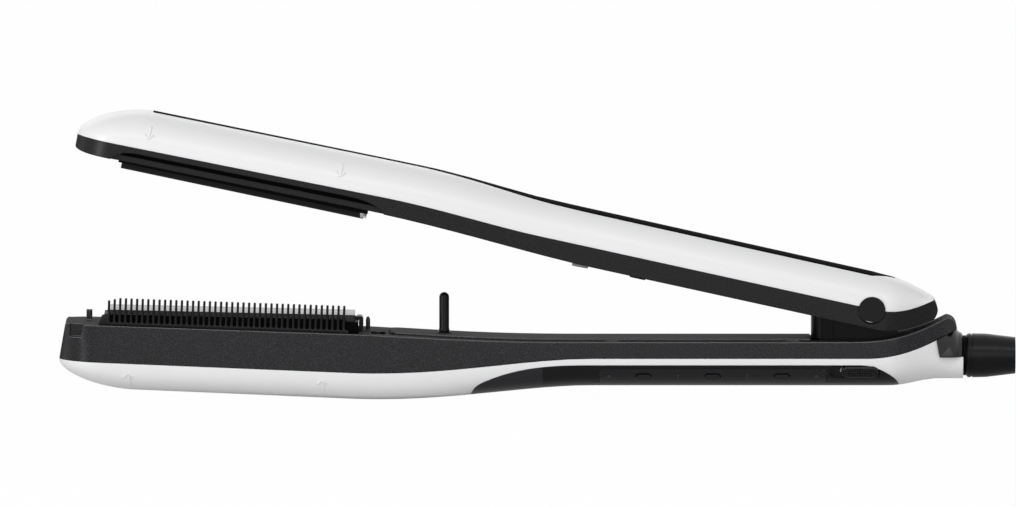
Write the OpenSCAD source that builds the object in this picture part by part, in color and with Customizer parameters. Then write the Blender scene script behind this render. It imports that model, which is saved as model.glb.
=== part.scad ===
// Steam hair straightener with two hinged arms, drawn open on its stop
// X runs from the tip to the hose, Z is up and the near side with the comb is -Y
// Outlines are given for the closed arms: X from the hinge axis, Z above the table

/* [Arms] */
// Distance from the hinge axis to the tips of the closed arms
arm_reach = 276; // [270:1:290]
// Distance from the hinge axis to the open end of the hose collar
tail_reach = 49; // [47:0.5:54]
// Height of the hinge axis above the table
hinge_z = 30.9; // [30.4:0.1:31.6]
// Travel of the hinge between open and closed
open_angle = 10.6; // [9.5:0.1:12]
// Width of both arms at the plates
head_w = 38; // [37.4:0.1:41]
// Width of both arms along the handle
handle_w = 31; // [30.4:0.1:33]
// Radius of the tip's corners seen from above
tip_corner_r = 14; // [11:0.5:15]
// How far the lower tip leans back from its seam to its top
tip_lean = 2; // [0.5:0.1:3]
// Length over which the head blends into the handle
waist_len = 83; // [76:1:90]

/* [Walls and clearances] */
// Wall of the black body shells
body_wall = 2; // [1.8:0.1:2.4]
// Wall of the white cover shells
cover_wall = 1.8; // [1.4:0.1:2.2]
// Gap between parts that are dropped into each other
seat_gap = 0.2; // [0.1:0.05:0.3]
// Gap between parts that move past each other
move_gap = 0.35; // [0.3:0.05:0.45]
// Radial gap of a pin that turns in its bore
run_gap = 0.05; // [0.03:0.01:0.1]

/* [Lower arm heights] */
// Top of the lower body at the tip
deck_tip_z = 26.2; // [25.6:0.1:26.8]
// Top of the lower body at the end of the plates
deck_waist_z = 22.9; // [22.4:0.1:23.4]
// Top of the lower body along the handle
deck_handle_z = 20.1; // [19.6:0.1:20.6]
// Seam between the lower body and its cover at the tip
seam_tip_z = 13.3; // [12.8:0.1:13.8]
// Same seam at the end of the plates
seam_waist_z = 9.4; // [9:0.1:9.8]
// Same seam along the handle
seam_handle_z = 14.4; // [14:0.1:14.8]
// Underside of the lower cover behind the nose
belly_tip_z = 3.3; // [2.8:0.1:3.8]
// Underside of the handle above the table
belly_handle_z = 4.4; // [4:0.1:4.8]
// Length of the rounded nose of the lower cover
nose_len = 20; // [18:0.5:22]
// Height of the horn behind the hinge above the handle's top
horn_rise = 7.8; // [7.2:0.1:8.2]
// Distance from the hinge axis to the end of the horn
horn_reach = 29; // [28.6:0.1:29.6]

/* [Upper arm heights] */
// Crest of the closed upper arm behind its nose
crest_tip_z = 51.8; // [51:0.1:52.6]
// Crest at the end of the head
crest_waist_z = 50.1; // [49.4:0.1:50.8]
// Crest at the front of the handle
crest_front_z = 46.9; // [46.4:0.1:47.4]
// Crest above the hinge
crest_hinge_z = 42.8; // [42.4:0.1:43.4]
// Seam between the upper cover and the upper body at the tip
rim_tip_z = 39.8; // [39.4:0.1:40.2]
// Same seam at the end of the plates
rim_waist_z = 38.5; // [38.1:0.1:38.9]
// Same seam at the front of the handle
rim_front_z = 35.2; // [34.8:0.1:35.6]
// Same seam at the hinge
rim_hinge_z = 31.4; // [31:0.1:31.8]
// Underside of the upper arm at the tip
base_tip_z = 34.2; // [33.8:0.1:34.6]
// Underside at the end of the plates
base_waist_z = 32.9; // [32.6:0.1:33.3]
// Underside at the front of the handle
base_front_z = 28.5; // [28.1:0.1:28.9]
// Underside at the hinge
base_hinge_z = 24.8; // [24.5:0.1:25.2]
// Length of the upper arm behind the hinge axis
upper_tail = 22.3; // [21.8:0.1:22.8]
// Length of the rounded nose of the upper cover
upper_nose_len = 22.5; // [20:0.5:24]

/* [Plates] */
// Length of the heating plates
plate_len = 84; // [80:1:90]
// Distance from the arm's side to a plate's long edge
plate_edge = 6.5; // [6.4:0.1:7.5]
// Thickness of a plate's face
plate_t = 1.6; // [1.2:0.1:2]
// Depth of a plate's folded side skirts
skirt_h = 4.2; // [3.8:0.1:4.6]
// Distance from the tips to the plates
plate_margin = 16.5; // [16:0.5:20]
// Slope of the closed plates
plate_tilt = 1.3; // [0.9:0.1:1.7]
// Height of the lower plate's face at its middle
plate_z = 30; // [29.6:0.1:30.2]
// Gap left between the closed plates
plate_gap = 0.4; // [0.3:0.1:0.6]
// Travel of the floating upper plate
float_travel = 0.8; // [0.5:0.1:1]
// Wall of the plate trays
tray_wall = 1.2; // [1:0.1:1.4]
// Height of the heater bars
heater_h = 3.2; // [2.6:0.1:3.6]
// Width of the heater bars
heater_w = 15; // [12:0.5:18]

/* [Comb] */
// Number of comb teeth
tooth_count = 43; // [38:1:44]
// Distance from tooth to tooth
tooth_pitch = 1.9; // [1.8:0.05:1.9]
// Height of a tooth above the comb's base strip
tooth_h = 8.3; // [7.4:0.1:8.6]
// Height of the thin tine on top of a tooth, with its shoulders
tine_h = 2.9; // [2.4:0.1:3.4]
// Width of a tooth's fin along the comb
fin_w = 1.1; // [0.9:0.05:1.2]
// Width of a tooth's tine along the comb
tine_w = 0.65; // [0.5:0.05:0.75]
// Distance from the front of the plate to the first tooth's middle
comb_start = 0.4; // [0:0.1:0.8]
// Depth of the comb across the arm
comb_d = 1.8; // [1.6:0.1:2]
// Height of the comb's base strip
comb_base_h = 1.2; // [1:0.1:1.5]

/* [Steam] */
// Width of the steam bar beside the lower plate
steam_bar_w = 2.2; // [2:0.1:2.4]
// Number of steam outlets
outlet_count = 16; // [12:1:18]
// Diameter of a steam outlet
outlet_d = 1; // [0.8:0.1:1.2]
// Outer diameter of the steam tube
tube_d = 3.2; // [2.8:0.1:3.6]
// Bore of the steam tube
tube_bore = 2; // [1.6:0.1:2.2]

/* [Closing post] */
// Distance from the end of the plates to the post
post_gap = 30.3; // [28:0.1:34]
// Diameter of the post
post_d = 3.4; // [3:0.1:3.8]
// Height of the post's tip above the table
post_top_z = 36; // [35.4:0.1:36.6]
// Travel of the steam switch button
switch_travel = 1; // [0.6:0.1:1.2]

/* [Controls] */
// Distance from the hinge axis to the middle push button
button_x = 54; // [52:0.5:56]
// Distance from one push button to the next
button_pitch = 23.5; // [22:0.5:25]
// Length of a push button
button_len = 5; // [4.4:0.1:6]
// Height of a push button
button_h = 2; // [1.8:0.1:3]
// Travel of a push button
button_travel = 0.6; // [0.4:0.1:0.7]
// Length of the window strip that holds the buttons
lens_len = 77; // [74:1:77]
// Thickness of the window strip
lens_t = 1.3; // [1:0.1:1.4]
// Thickness of the dark handle panel
panel_t = 1.4; // [1.2:0.1:1.6]
// Upper edge of the dark handle panel
panel_top_z = 12.1; // [11.8:0.1:12.4]

/* [Lock] */
// Distance from the hinge axis to the lock slider's middle
slider_x = 4; // [3.4:0.1:4.4]
// Height of the lock slider's middle
slider_z = 9.8; // [9.6:0.1:10]
// Length of the lock slider
slider_len = 12.8; // [11:0.1:13]
// Height of the lock slider
slider_h = 4.2; // [3.8:0.1:4.4]
// Travel of the lock slider towards the tip
slider_travel = 3.5; // [2.5:0.1:3.7]

/* [Hinge] */
// Diameter of the hinge pin
pin_d = 4; // [3.6:0.1:4.4]
// Diameter of the caps over the pin's ends
cap_d = 9.2; // [8.8:0.1:9.6]
// Width of the hinge tower
tower_w = 17; // [16:0.2:17.6]
// Distance from the hinge axis to the tower's nose
tower_nose = 20.5; // [19.5:0.1:21]
// Thickness of the yoke's ears
ear_t = 2.4; // [2:0.1:2.6]
// Wire of the hinge spring
spring_wire = 1; // [0.8:0.1:1.2]

/* [Hose end] */
// Height of the hose axis above the table
hose_z = 14.4; // [14.2:0.1:14.6]
// Radius of the neck that holds the hose socket
neck_r = 7.8; // [7.6:0.1:8]
// Length of the neck beyond the horn's root
neck_reach = 31.2; // [30.8:0.1:31.6]
// Width of the dark ring between neck and collar
ring_w = 0.9; // [0.7:0.1:1.1]
// Radius of the hose collar
collar_r = 7.5; // [7.2:0.1:7.8]
// Radius of the collar's open end
collar_end_r = 6.2; // [6:0.1:6.4]
// Bore of the collar for the hose
hose_bore_r = 4.5; // [4:0.1:4.8]
// Depth of the collar's hose bore
hose_bore_len = 10; // [8:0.5:11]

/* [Hidden] */
$fn = 48;

body_black = "#343437";
panel_black = "#1e1e20";
gloss_white = "#efeff0";
metal_grey = "#b4b6b8";
eps = 0.01;

// Places along the arms, counted from the hinge axis
hinge_x = (arm_reach - tail_reach) / 2;
tip_x = -arm_reach;
plate_start = tip_x + plate_margin;
plate_end = plate_start + plate_len;
plate_mid = (plate_start + plate_end) / 2;
waist_start = plate_end - 2.5;
waist_end = waist_start + waist_len;
horn_start = -6;
horn_top = horn_reach - 3.5;
horn_root = 22.1;
neck_start = 23.2;
tower_end = 9;
cover_front = plate_end + 12;
cover_back = -tower_nose - 0.3;
post_x = -plate_end - post_gap;

// Places across the arms
plate_w = head_w - 2 * plate_edge;
comb_y = head_w / 2 - 0.6;
steam_bar_y = comb_y - comb_d - seat_gap;
tray_y = plate_w / 2 + seat_gap + tray_wall;
recess_y = comb_y - comb_d - move_gap + 0.05;
ear_y = tower_w / 2 + 1.1;
sheet_t = 2;

// Sizes of inner parts and fits
solid_tip = 12;
rib_z = 14;
tray_end = 1.2;
lower_rim = 2.2;
upper_rim = 2;
tray_depth = 8.5;
upper_tray_h = 9.4;
heater_len = plate_len - 18;
inner_cover_w = 22;
cover_sink = 1.2;
cover_rise = 0.8;
cover_power = 2.8;
crown_power = 2.3;
panel_front = waist_end - 41.4;
panel_back = 9.2;
lens_z = 7.6;
lens_h = 6.9;
lens_corner_r = 0.6;
button_z = panel_top_z - 3.8;
board_in = 5.2;
light_d = 1.4;
mark_len = 2.4;
mark_w = 0.7;
slider_in = 1;
stem_len = 6;
stem_h = 2.2;
stud_r = 1.3;
bolt_x = 12.9;
bolt_y = 10;
bolt_t = 1.6;
bolt_nose = 1.8;
bolt_cross_z = 15.2;
lip_len = 1.6;
hook_lip_z = 22.2;
yoke_front = -tower_nose - 23.5;
flange_x = -tower_nose - 5.6;
inner_sheet_t = 1.2;
spigot_r = 5.2;
spigot_start = 22.6;
tube_z = 10.5;
tube_rise = plate_len / 2 - 8;
shoulder_h = 1.4;
inset_t = 0.9;
inset_head_w = 3.6;
inset_handle_w = 7.4;
tail_round = 1.6;
knuckle_r = 5.4;
ear_r = 4.4;
flange_t = 1.6;
socket_r = 2.7;
spring_half = 4.2;
pin_half = handle_w / 2 - 2.2;

function mix(a, b, t) = a + (b - a) * t;
function line(x, x0, z0, x1, z1) = z0 + (z1 - z0) * (x - x0) / (x1 - x0);
function unit(t) = min(1, max(0, t));
function ease(t) = t * t * (3 - 2 * t);
function blend(x, x0, x1, a, b) = mix(a, b, ease(unit((x - x0) / (x1 - x0))));
function steps(a, b, n) = [for (i = [0:n]) mix(a, b, i / n)];
function nose_steps(end, root, n) = [for (i = [0:n]) mix(end, root, 1 - cos(90 * i / n))];

// Drop of a rounded nose: 0 at its root and 1 at its end
function nose(t, power) = 1 - pow(1 - pow(unit(t), power), 1 / power);

// Half width of both arms seen from above
function tail_w(x, end, end_w) = blend(x, 4, end, handle_w / 2, end_w);
function corner(x, r) = r - sqrt(max(0, r * r - pow(max(0, tip_x + tip_corner_r - x), 2)));
function arm_w(x, inset) =
    blend(x, waist_start, waist_end, head_w, handle_w) / 2 - inset - corner(x, tip_corner_r - inset);
function lower_w(x, inset = 0) = x < 0 ? arm_w(x, inset) : tail_w(x, horn_reach, neck_r) - inset;
function upper_w(x, inset = 0) = x < 0 ? arm_w(x, inset) : tail_w(x, upper_tail + 1.5, handle_w / 4) - inset;

// Outlines of the lower arm
function waist(x, head, handle) = blend(x, waist_start, waist_end, head, handle);
function deck_head(x) = line(x, tip_x + 9, deck_tip_z, waist_start + 6, deck_waist_z);
function horn(x) = horn_rise * pow(unit((x - horn_start) / (horn_top - horn_start)), 2.2);
function deck(x) = waist(x, deck_head(x), deck_handle_z) + horn(x);
function seam_head(x) = line(x, tip_x + 15, seam_tip_z, waist_start + 12, seam_waist_z);
function seam_tail(x) = x > -2 ? 0.01 * pow(x + 2, 2) : 0;
function seam(x) = x > horn_root + eps ? hose_z : waist(x, seam_head(x), seam_handle_z) + seam_tail(x);
function belly_head(x) = line(x, tip_x + nose_len, belly_tip_z, waist_start + 7, -0.3);
function belly_nose(x) = (seam_tip_z - belly_tip_z - 1) * nose((tip_x + nose_len - x) / nose_len, 1.9);
function belly_tail(x) = blend(x, 6, neck_start, 0, hose_z - neck_r - belly_handle_z);
function belly(x) = waist(x, belly_head(x), belly_handle_z) + belly_nose(x) + belly_tail(x);

// Outlines of the upper arm
function crest_head(x) = line(x, tip_x + 21, crest_tip_z, waist_start + 18, crest_waist_z);
function crest_handle(x) = line(x, waist_end - 24, crest_front_z, 0, crest_hinge_z);
function crest_body(x) = blend(x, waist_start + 18, waist_end - 17, crest_head(x), crest_handle(x));
function crest_nose(x) =
    (crest_tip_z - rim_tip_z - 0.2) * nose((tip_x + upper_nose_len - x) / upper_nose_len, 1.7);
function crest_tail(x) = x > 0 ? 0.0098 * x * x : 0;
function crest(x) = crest_body(x) - crest_nose(x) - crest_tail(x);
function rim_head(x) = line(x, tip_x, rim_tip_z, waist_start + 6, rim_waist_z);
function rim_handle(x) = line(x, waist_end - 26, rim_front_z, 0, rim_hinge_z);
function rim_tail(x) = x > 2 ? 0.0206 * pow(x - 2, 2) : 0;
function rim(x) = blend(x, waist_start + 6, waist_end - 20, rim_head(x), rim_handle(x)) + rim_tail(x);
function base_head(x) = line(x, tip_x + 15, base_tip_z, waist_start + 4, base_waist_z);
function base_handle(x) = line(x, waist_end - 25, base_front_z, 0, base_hinge_z);
function base_nose(x) = 1.2 * nose((tip_x + 7 - x) / 7, 2);
function base_tail(x) = x > 3 ? 0.0325 * pow(x - 3, 1.85) : 0;
function base(x) = waist(x, base_head(x), base_handle(x)) + base_nose(x) + base_tail(x);

// Extrusion across the arm of the side view between a lower and an upper line
module side_slab(low, high, half_w) {
    rotate([90, 0, 0])
        linear_extrude(2 * half_w, center = true)
            polygon(concat(low, flip(high)));
}

// Extrusion upwards of the plan view with the given half widths at its stations
module plan_slab(xs, half_ws, low, high) {
    near = [for (i = [0:len(xs) - 1]) [xs[i], -half_ws[i]]];
    far = [for (i = [0:len(xs) - 1]) [xs[i], half_ws[i]]];
    translate([0, 0, low])
        linear_extrude(high - low)
            polygon(concat(near, flip(far)));
}

// Closed skin through rings of [y, z] points at the given stations
module loft(xs, rings) {
    n = len(rings[0]);
    last = len(xs) - 1;
    points = [for (i = [0:last]) for (p = rings[i]) [xs[i], p[0], p[1]]];
    sides = [for (i = [0:last - 1]) for (j = [0:n - 1]) each [
        [i * n + j, (i + 1) * n + j, i * n + (j + 1) % n],
        [i * n + (j + 1) % n, (i + 1) * n + j, (i + 1) * n + (j + 1) % n]
    ]];
    front = [for (j = [0:n - 1]) j];
    back = [for (j = [n - 1:-1:0]) last * n + j];
    polyhedron(points, concat([front], sides, [back]), convexity = 6);
}

// Rounded section from angle a0 to a1, 0 on the near side, with depth d below or above z0
function bow(a, w, z0, d, power) = [
    -w * sign(cos(a)) * pow(abs(cos(a)), 2 / power),
    z0 + d * pow(abs(sin(a)), 2 / power)
];
function bow_arc(a0, a1, n, w, z0, d, power) = [for (i = [0:n]) bow(mix(a0, a1, i / n), w, z0, d, power)];
function flip(list) = [for (i = [len(list) - 1:-1:0]) list[i]];

module lower_frame() {
    translate([hinge_x, 0, 0])
        children();
}

module upper_frame() {
    translate([hinge_x, 0, hinge_z])
        rotate([0, open_angle, 0])
            translate([0, 0, -hinge_z])
                children();
}

// Frame on the lower plate's face: X along the plate, Z out of it
module on_plate() {
    translate([plate_mid, 0, plate_z])
        rotate([0, plate_tilt, 0])
            children();
}

module bar(x0, x1, y0, y1, z0, z1) {
    translate([x0, y0, z0])
        cube([x1 - x0, y1 - y0, z1 - z0]);
}

module rod(r, x, y0, y1, z) {
    translate([x, y1, z])
        rotate([90, 0, 0])
            cylinder(y1 - y0, r, r);
}

// Flat pill outline along X
module pill(length, height) {
    square([length - height, height], center = true);
    for (side = [-1, 1])
        translate([side * (length - height) / 2, 0])
            circle(height / 2);
}

// Tube with a bore along a route, its rings turned from point to point without a twist
function bearing(points, i) =
    let (d = points[min(i + 1, len(points) - 1)] - points[max(i - 1, 0)]) d / norm(d);
function carried(points, i, across) =
    i == len(points) ? [] :
    let (t = bearing(points, i), flat = across - (across * t) * t, u = flat / norm(flat))
    concat([u], carried(points, i + 1, u));
module tube(points, r, bore) {
    sides = 10;
    us = carried(points, 0, [0, 1, 0]);
    last = len(points) - 1;
    rings = [for (i = [0:last])
        let (u = us[i], v = cross(bearing(points, i), u))
        [for (s = [r, bore]) for (j = [0:sides - 1])
            points[i] + s * cos(360 * j / sides) * u + s * sin(360 * j / sides) * v]
    ];
    skin = [for (i = [0:last - 1]) for (j = [0:sides - 1])
        let (k = (j + 1) % sides, a = 2 * sides * i, b = a + 2 * sides)
        each [
            [a + j, b + j, b + k], [a + j, b + k, a + k],
            [a + sides + j, a + sides + k, b + sides + k], [a + sides + j, b + sides + k, b + sides + j]
        ]
    ];
    ends = [for (j = [0:sides - 1])
        let (k = (j + 1) % sides, b = 2 * sides * last)
        each [
            [j, k, sides + k], [j, sides + k, sides + j],
            [b + j, b + sides + k, b + k], [b + j, b + sides + j, b + sides + k]
        ]
    ];
    polyhedron([for (ring = rings) each ring], concat(skin, ends), convexity = 8);
}

// Stations of the arms and their lines at those stations
tip_xs = nose_steps(tip_x, tip_x + tip_corner_r, 8);
head_xs = concat(tip_xs, steps(tip_x + nose_len + 3, waist_start, 4));
handle_xs = [for (t = [1, 2]) mix(waist_end, horn_start, t / 3)];
arm_xs = concat(head_xs, steps(waist_start + 8, waist_end, 9), handle_xs);
lower_xs = concat(arm_xs, [horn_start], steps(0, horn_root, 7));
upper_xs = concat(arm_xs, [-10], steps(0, upper_tail - 2.1, 8));

// Lower arm shells

module lower_envelope(top_drop, inset, front, back) {
    xs = [for (x = lower_xs) if (x > front && x < back) x];
    full = concat([front], xs, [back]);
    intersection() {
        side_slab([for (x = full) [x, seam(x) - 1]], [for (x = full) [x, deck(x) - top_drop]], head_w);
        plan_slab(full, [for (x = full) lower_w(x, inset)], 0, 40);
    }
}

module lower_block() {
    horn_xs = steps(horn_root, horn_top, 2);
    round_end = [for (a = [18:18:90]) [
        horn_top + (horn_reach - horn_top) * sin(a),
        deck(horn_top) - (horn_reach - horn_top) * (1 - cos(a))
    ]];
    horn_corner = [horn_reach, deck(horn_top) - horn_reach + horn_top - 0.6];
    low = concat([for (x = lower_xs) [x, seam(x)]], [horn_corner]);
    lean_x = tip_x + tip_lean;
    brow = [for (a = [0:30:90]) [lean_x + 1.2 * (1 - cos(a)), deck(tip_x) - 1.2 * (1 - sin(a))]];
    lean = [for (x = lower_xs) if (x > lean_x + 1.3) [x, deck(x)]];
    high = concat(brow, lean, [for (x = horn_xs) if (x > horn_root) [x, deck(x)]], round_end);
    plan_xs = concat(lower_xs, steps(horn_root + 1, horn_reach, 3));
    intersection() {
        side_slab(low, high, head_w);
        plan_slab(plan_xs, [for (x = plan_xs) lower_w(x)], 0, 40);
    }
}

// Clearance for the lower tray and the steam bar, down to their seat
module lower_well(gap) {
    on_plate()
        bar(
            -plate_len / 2 - tray_end - gap, plate_len / 2 + tray_end + gap,
            -steam_bar_y - gap, tray_y + gap,
            -tray_depth, 12
        );
}

module cover_seat(half_w, drop, front, back) {
    xs = concat([front], [for (x = lower_xs) if (x > front && x < back) x], [back]);
    side_slab([for (x = xs) [x, deck(x) - drop]], [for (x = xs) [x, deck(x) + 10]], half_w);
}

module lower_body() {
    color(body_black)
        lower_frame() {
            difference() {
                lower_block();
                difference() {
                    lower_envelope(sheet_t, body_wall, tip_x + solid_tip, 18);
                    for (x = [plate_start + 6, plate_mid, plate_end - 14])
                        bar(x - 1, x + 1, -head_w, head_w, rib_z, 40);
                }
                lower_well(seat_gap);
                cover_seat(
                    inner_cover_w / 2 + seat_gap, cover_sink,
                    cover_front - seat_gap, cover_back + seat_gap
                );
                cover_seat(inner_cover_w / 2 - 2, 10, cover_front + 2, cover_back - 2);
                nail_notch();
                bar(
                    -bolt_x + bolt_nose - slider_travel - move_gap, -bolt_x + bolt_nose + bolt_t + move_gap,
                    -3.8 - move_gap, -1.2 + move_gap,
                    rib_z, 40
                );
                tower_studs(seat_gap / 2, 4);
                translate([plate_end + 7.9, -6, deck(plate_end + 7.9) - sheet_t + 0.6])
                    rotate([0, 0, 90])
                        linear_extrude(sheet_t)
                            pill(14, 5.1);
            }
            front_peg(plate_start - 6.4, 5, 2, 3.5);
            rear_peg(plate_end + 4.4, 1, 0.75, 4.9);
        }
}

// Fingernail notch in the near corner of the tip
module nail_notch() {
    notch_z = deck_tip_z - 4.2;
    rotate([90, 0, 0])
        translate([0, 0, head_w / 2 - 7])
            linear_extrude(8)
                polygon([
                    [tip_x + 3.9, notch_z + 8], [tip_x + 3.9, notch_z],
                    [tip_x + 7.6, notch_z], [tip_x + 9.6, notch_z + 8]
                ]);
}

module front_peg(x, y, size, height) {
    translate([x - size / 2, y - size / 2, deck(x) - 0.5])
        cube([size, size, height + 0.5]);
}

// Round peg with a pointed top
module rear_peg(x, y, r, height) {
    translate([x, y, deck(x) - 0.5])
        rotate_extrude()
            polygon(concat(
                [[0, 0], [r, 0]],
                [for (t = [0:0.25:1]) [r * sqrt(1 - t * t), height + 0.5 - 1.6 * (1 - t)]]
            ));
}

// Roundness of the lower cover's section: squarer along the arm and a circle at the neck
function belly_power(x) = blend(x, panel_back, neck_start, cover_power, 2);

// Rings of the lower cover at depth inset below its surface, from angle a0 to a1
function belly_ring(x, inset, a0, a1, n) =
    bow_arc(a0, a1, n, lower_w(x, inset), seam(x), -(seam(x) - belly(x) - inset), belly_power(x));

function cover_depth(x) =
    cover_wall + blend(x, panel_front - 8, panel_front, 0, panel_t + 0.1) * (x > panel_back + 1 ? 0 : 1);

module lower_cover() {
    neck_xs = [neck_start, 26, neck_reach];
    xs = concat(lower_xs, neck_xs);
    inner_xs = concat([for (x = lower_xs) if (x > tip_x + 5) x], neck_xs, [neck_reach + 1]);
    color(gloss_white)
        lower_frame()
            difference() {
                loft(xs, [for (x = xs) belly_ring(x, 0, 0, 180, 16)]);
                loft(inner_xs, [for (x = inner_xs) concat(
                    belly_ring(min(x, neck_reach), cover_depth(x), 0, 180, 16),
                    [[lower_w(x, cover_depth(x)), 40], [-lower_w(x, cover_depth(x)), 40]]
                )]);
                panel_skin(-0.5, panel_t + 0.1, 0.1);
                control_openings();
                slider_openings();
                bar(tip_x, horn_reach, -head_w, head_w, -5, 0);
            }
}

// Upper edge of the handle panel
function panel_line(x) =
    panel_top_z
    - 7.9 * pow(unit((waist_end - x) / 41.4), 2.85)
    - 3.2 * pow(unit((waist_end - x) / 41.4), 40)
    - 5.8 * pow(unit((x + 4) / 13.2), 2.1)
    - 1.4 * pow(unit((x + 4) / 13.2), 30);

// Angle around the belly at which the lower cover reaches height z
function belly_angle(x, z) =
    min(80, asin(pow(unit((seam(x) - z) / (seam(x) - belly(x))), belly_power(x) / 2)));

// Skin of the handle panel between two depths, widened by gap
module panel_skin(top, bottom, gap) {
    front = [panel_front - gap, panel_front + 0.4, panel_front + 1.4, panel_front + 3.5];
    back = [panel_back - 0.8, panel_back + gap];
    xs = concat(front, steps(panel_front + 8, waist_end, 6), handle_xs, steps(-4, panel_back - 2, 4), back);
    loft(xs, [for (x = xs)
        let (a = belly_angle(x, panel_line(x) + gap))
        concat(belly_ring(x, top, a, 180 - a, 14), flip(belly_ring(x, bottom, a, 180 - a, 14)))
    ]);
}

module handle_panel() {
    color(panel_black)
        lower_frame()
            difference() {
                panel_skin(0, panel_t, 0);
                lens_window(0.1);
                control_openings();
                slider_openings();
            }
}

// Window strip let into the near side of the panel
module lens_window(gap) {
    on_facet(-button_x, lens_z)
        facet_slab(3, 4.5)
            rounded_square(lens_len + 2 * gap, lens_h + 2 * gap, lens_corner_r + gap);
}

module control_lens() {
    color("#3a3a3d")
        lower_frame()
            difference() {
                intersection() {
                    panel_skin(0, lens_t, 0);
                    lens_window(0);
                }
                control_openings();
                slider_openings();
            }
}

// Distance of the handle's side from the middle at height z, and its lean there
function facet_h(z) = (seam_handle_z - z) / (seam_handle_z - belly_handle_z);
function facet_y(z) = handle_w / 2 * pow(1 - pow(facet_h(z), cover_power), 1 / cover_power);
function facet_lean(z) = atan2(
    pow(facet_h(z), cover_power - 1) * handle_w / 2,
    pow(facet_y(z) / handle_w * 2, cover_power - 1) * (seam_handle_z - belly_handle_z)
);

// Local frame on the near side of the handle: -Y points out of it
module on_facet(x, z) {
    translate([x, -facet_y(z), z])
        rotate([facet_lean(z), 0, 0])
            children();
}

module facet_slab(out, in) {
    translate([0, in, 0])
        rotate([90, 0, 0])
            linear_extrude(in + out)
                children();
}

module facet_pill(length, height, out, in) {
    facet_slab(out, in)
        pill(length, height);
}

module control_openings() {
    for (i = [-1:1])
        on_facet(-button_x + i * button_pitch, button_z)
            facet_pill(button_len + 0.5, button_h + 0.5, 2, 4.2);
    for (i = [-1.5:1.5])
        on_facet(-button_x + i * button_pitch, button_z)
            light_pipe(i, 0.1, 2, 4.2);
}

// Light pipe: round at the strip's ends and a thin upright mark between two buttons
module light_pipe(i, gap, out, in) {
    facet_slab(out, in)
        if (abs(i) > 1)
            circle((light_d + gap) / 2, $fn = 24);
        else
            rotate([0, 0, 90])
                pill(mark_len + gap, mark_w + gap);
}

module push_button(i) {
    color("#2b2b2e")
        lower_frame()
            on_facet(-button_x + i * button_pitch, button_z) {
                facet_pill(button_len, button_h, 0.4, 2.4);
                facet_pill(button_len - 1.6, button_h - 0.9, 0, board_in - 0.6 - button_travel);
            }
}

module power_button() {
    push_button(-1);
}

module minus_button() {
    push_button(0);
}

module plus_button() {
    push_button(1);
}

module indicator_light(i) {
    color("#8a8d90")
        lower_frame()
            on_facet(-button_x + i * button_pitch, button_z)
                light_pipe(i, 0, 0.05, board_in - 0.2);
}

module indicator_light_1() {
    indicator_light(-1.5);
}

module indicator_light_2() {
    indicator_light(-0.5);
}

module indicator_light_3() {
    indicator_light(0.5);
}

module indicator_light_4() {
    indicator_light(1.5);
}

module control_board() {
    color("#2f6b3c")
        lower_frame()
            on_facet(-button_x, button_z) {
                bar(-lens_len / 2, lens_len / 2 - 1.5, board_in, board_in + 1.2, -3.2, 3.6);
                for (x = button_pitch * [-1, 0, 1])
                    bar(x - 1.6, x + 1.6, board_in - 0.5, board_in + eps, -1.4, 1.4);
            }
}

// Recess for the slider's pad and the slot behind it for its stem
module slider_openings() {
    on_facet(-slider_x - slider_travel / 2, slider_z) {
        facet_pill(slider_len + slider_travel + 2 * move_gap, slider_h + 2 * move_gap, 2, slider_in + 0.15);
        facet_pill(stem_len + slider_travel + 2 * move_gap, stem_h + 2 * move_gap, 2, 5);
    }
}

module lock_slider() {
    color("#242426")
        lower_frame()
            on_facet(-slider_x, slider_z) {
                facet_pill(slider_len, slider_h, 0.5, slider_in);
                facet_pill(stem_len, stem_h, 0, 4.6);
                for (i = [-4:4])
                    for (j = [-1:1])
                        translate([i * 1.15, -0.4, j * 1.15])
                            rotate([90, 0, 0])
                                cylinder(0.35, 0.35, 0.35, $fn = 6);
            }
}

// Bolt behind the slider: along the near side, across under the deck and up to its nose in the tower
module lock_bolt() {
    x0 = -bolt_x + bolt_nose;
    x1 = x0 + bolt_t;
    nose_z = hook_lip_z + 1 + move_gap;
    color(metal_grey)
        lower_frame() {
            bar(x0, -slider_x + 2, -bolt_y, -bolt_y + 1.2, slider_z + 0.6, slider_z + 3.4);
            bar(x0, x1, -bolt_y, -bolt_y + 1.2, slider_z + 3.4 - eps, bolt_cross_z + 1.4);
            bar(x0, x1, -bolt_y + 1.2 - eps, -1.2, bolt_cross_z, bolt_cross_z + 1.4);
            bar(x0, x1, -3.8, -1.2, bolt_cross_z + 1.4 - eps, nose_z + 1.4);
            bar(-bolt_x, x0 + eps, -3.8, -1.2, nose_z, nose_z + 1.4);
        }
}

// Lower arm fittings

module inner_cover() {
    xs = concat([cover_front], [for (x = lower_xs) if (x > cover_front && x < cover_back) x], [cover_back]);
    color(body_black)
        lower_frame()
            difference() {
                intersection() {
                    side_slab(
                        [for (x = xs) [x, deck(x) - cover_sink]],
                        [for (x = xs) [x, deck(x) + cover_rise]],
                        inner_cover_w / 2
                    );
                    linear_extrude(40) {
                        translate([(cover_front + cover_back) / 2, 0])
                            rounded_square(cover_back - cover_front, inner_cover_w, 4);
                        translate([cover_back - 10, -inner_cover_w / 2])
                            square([10, inner_cover_w]);
                    }
                }
                for (x = [cover_front + 75, cover_back - 6.2])
                    notch_slot(x);
            }
}

module rounded_square(length, width, r) {
    square([length - 2 * r, width], center = true);
    square([length, width - 2 * r], center = true);
    for (i = [-1, 1])
        for (j = [-1, 1])
            translate([i * (length / 2 - r), j * (width / 2 - r)])
                circle(r);
}

// Small latch window in the near edge of the inner cover
module notch_slot(x) {
    bar(x - 2.4, x + 2.4, -inner_cover_w, -inner_cover_w / 2 + 1.2, deck(x) - 0.1, 40);
}

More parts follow.
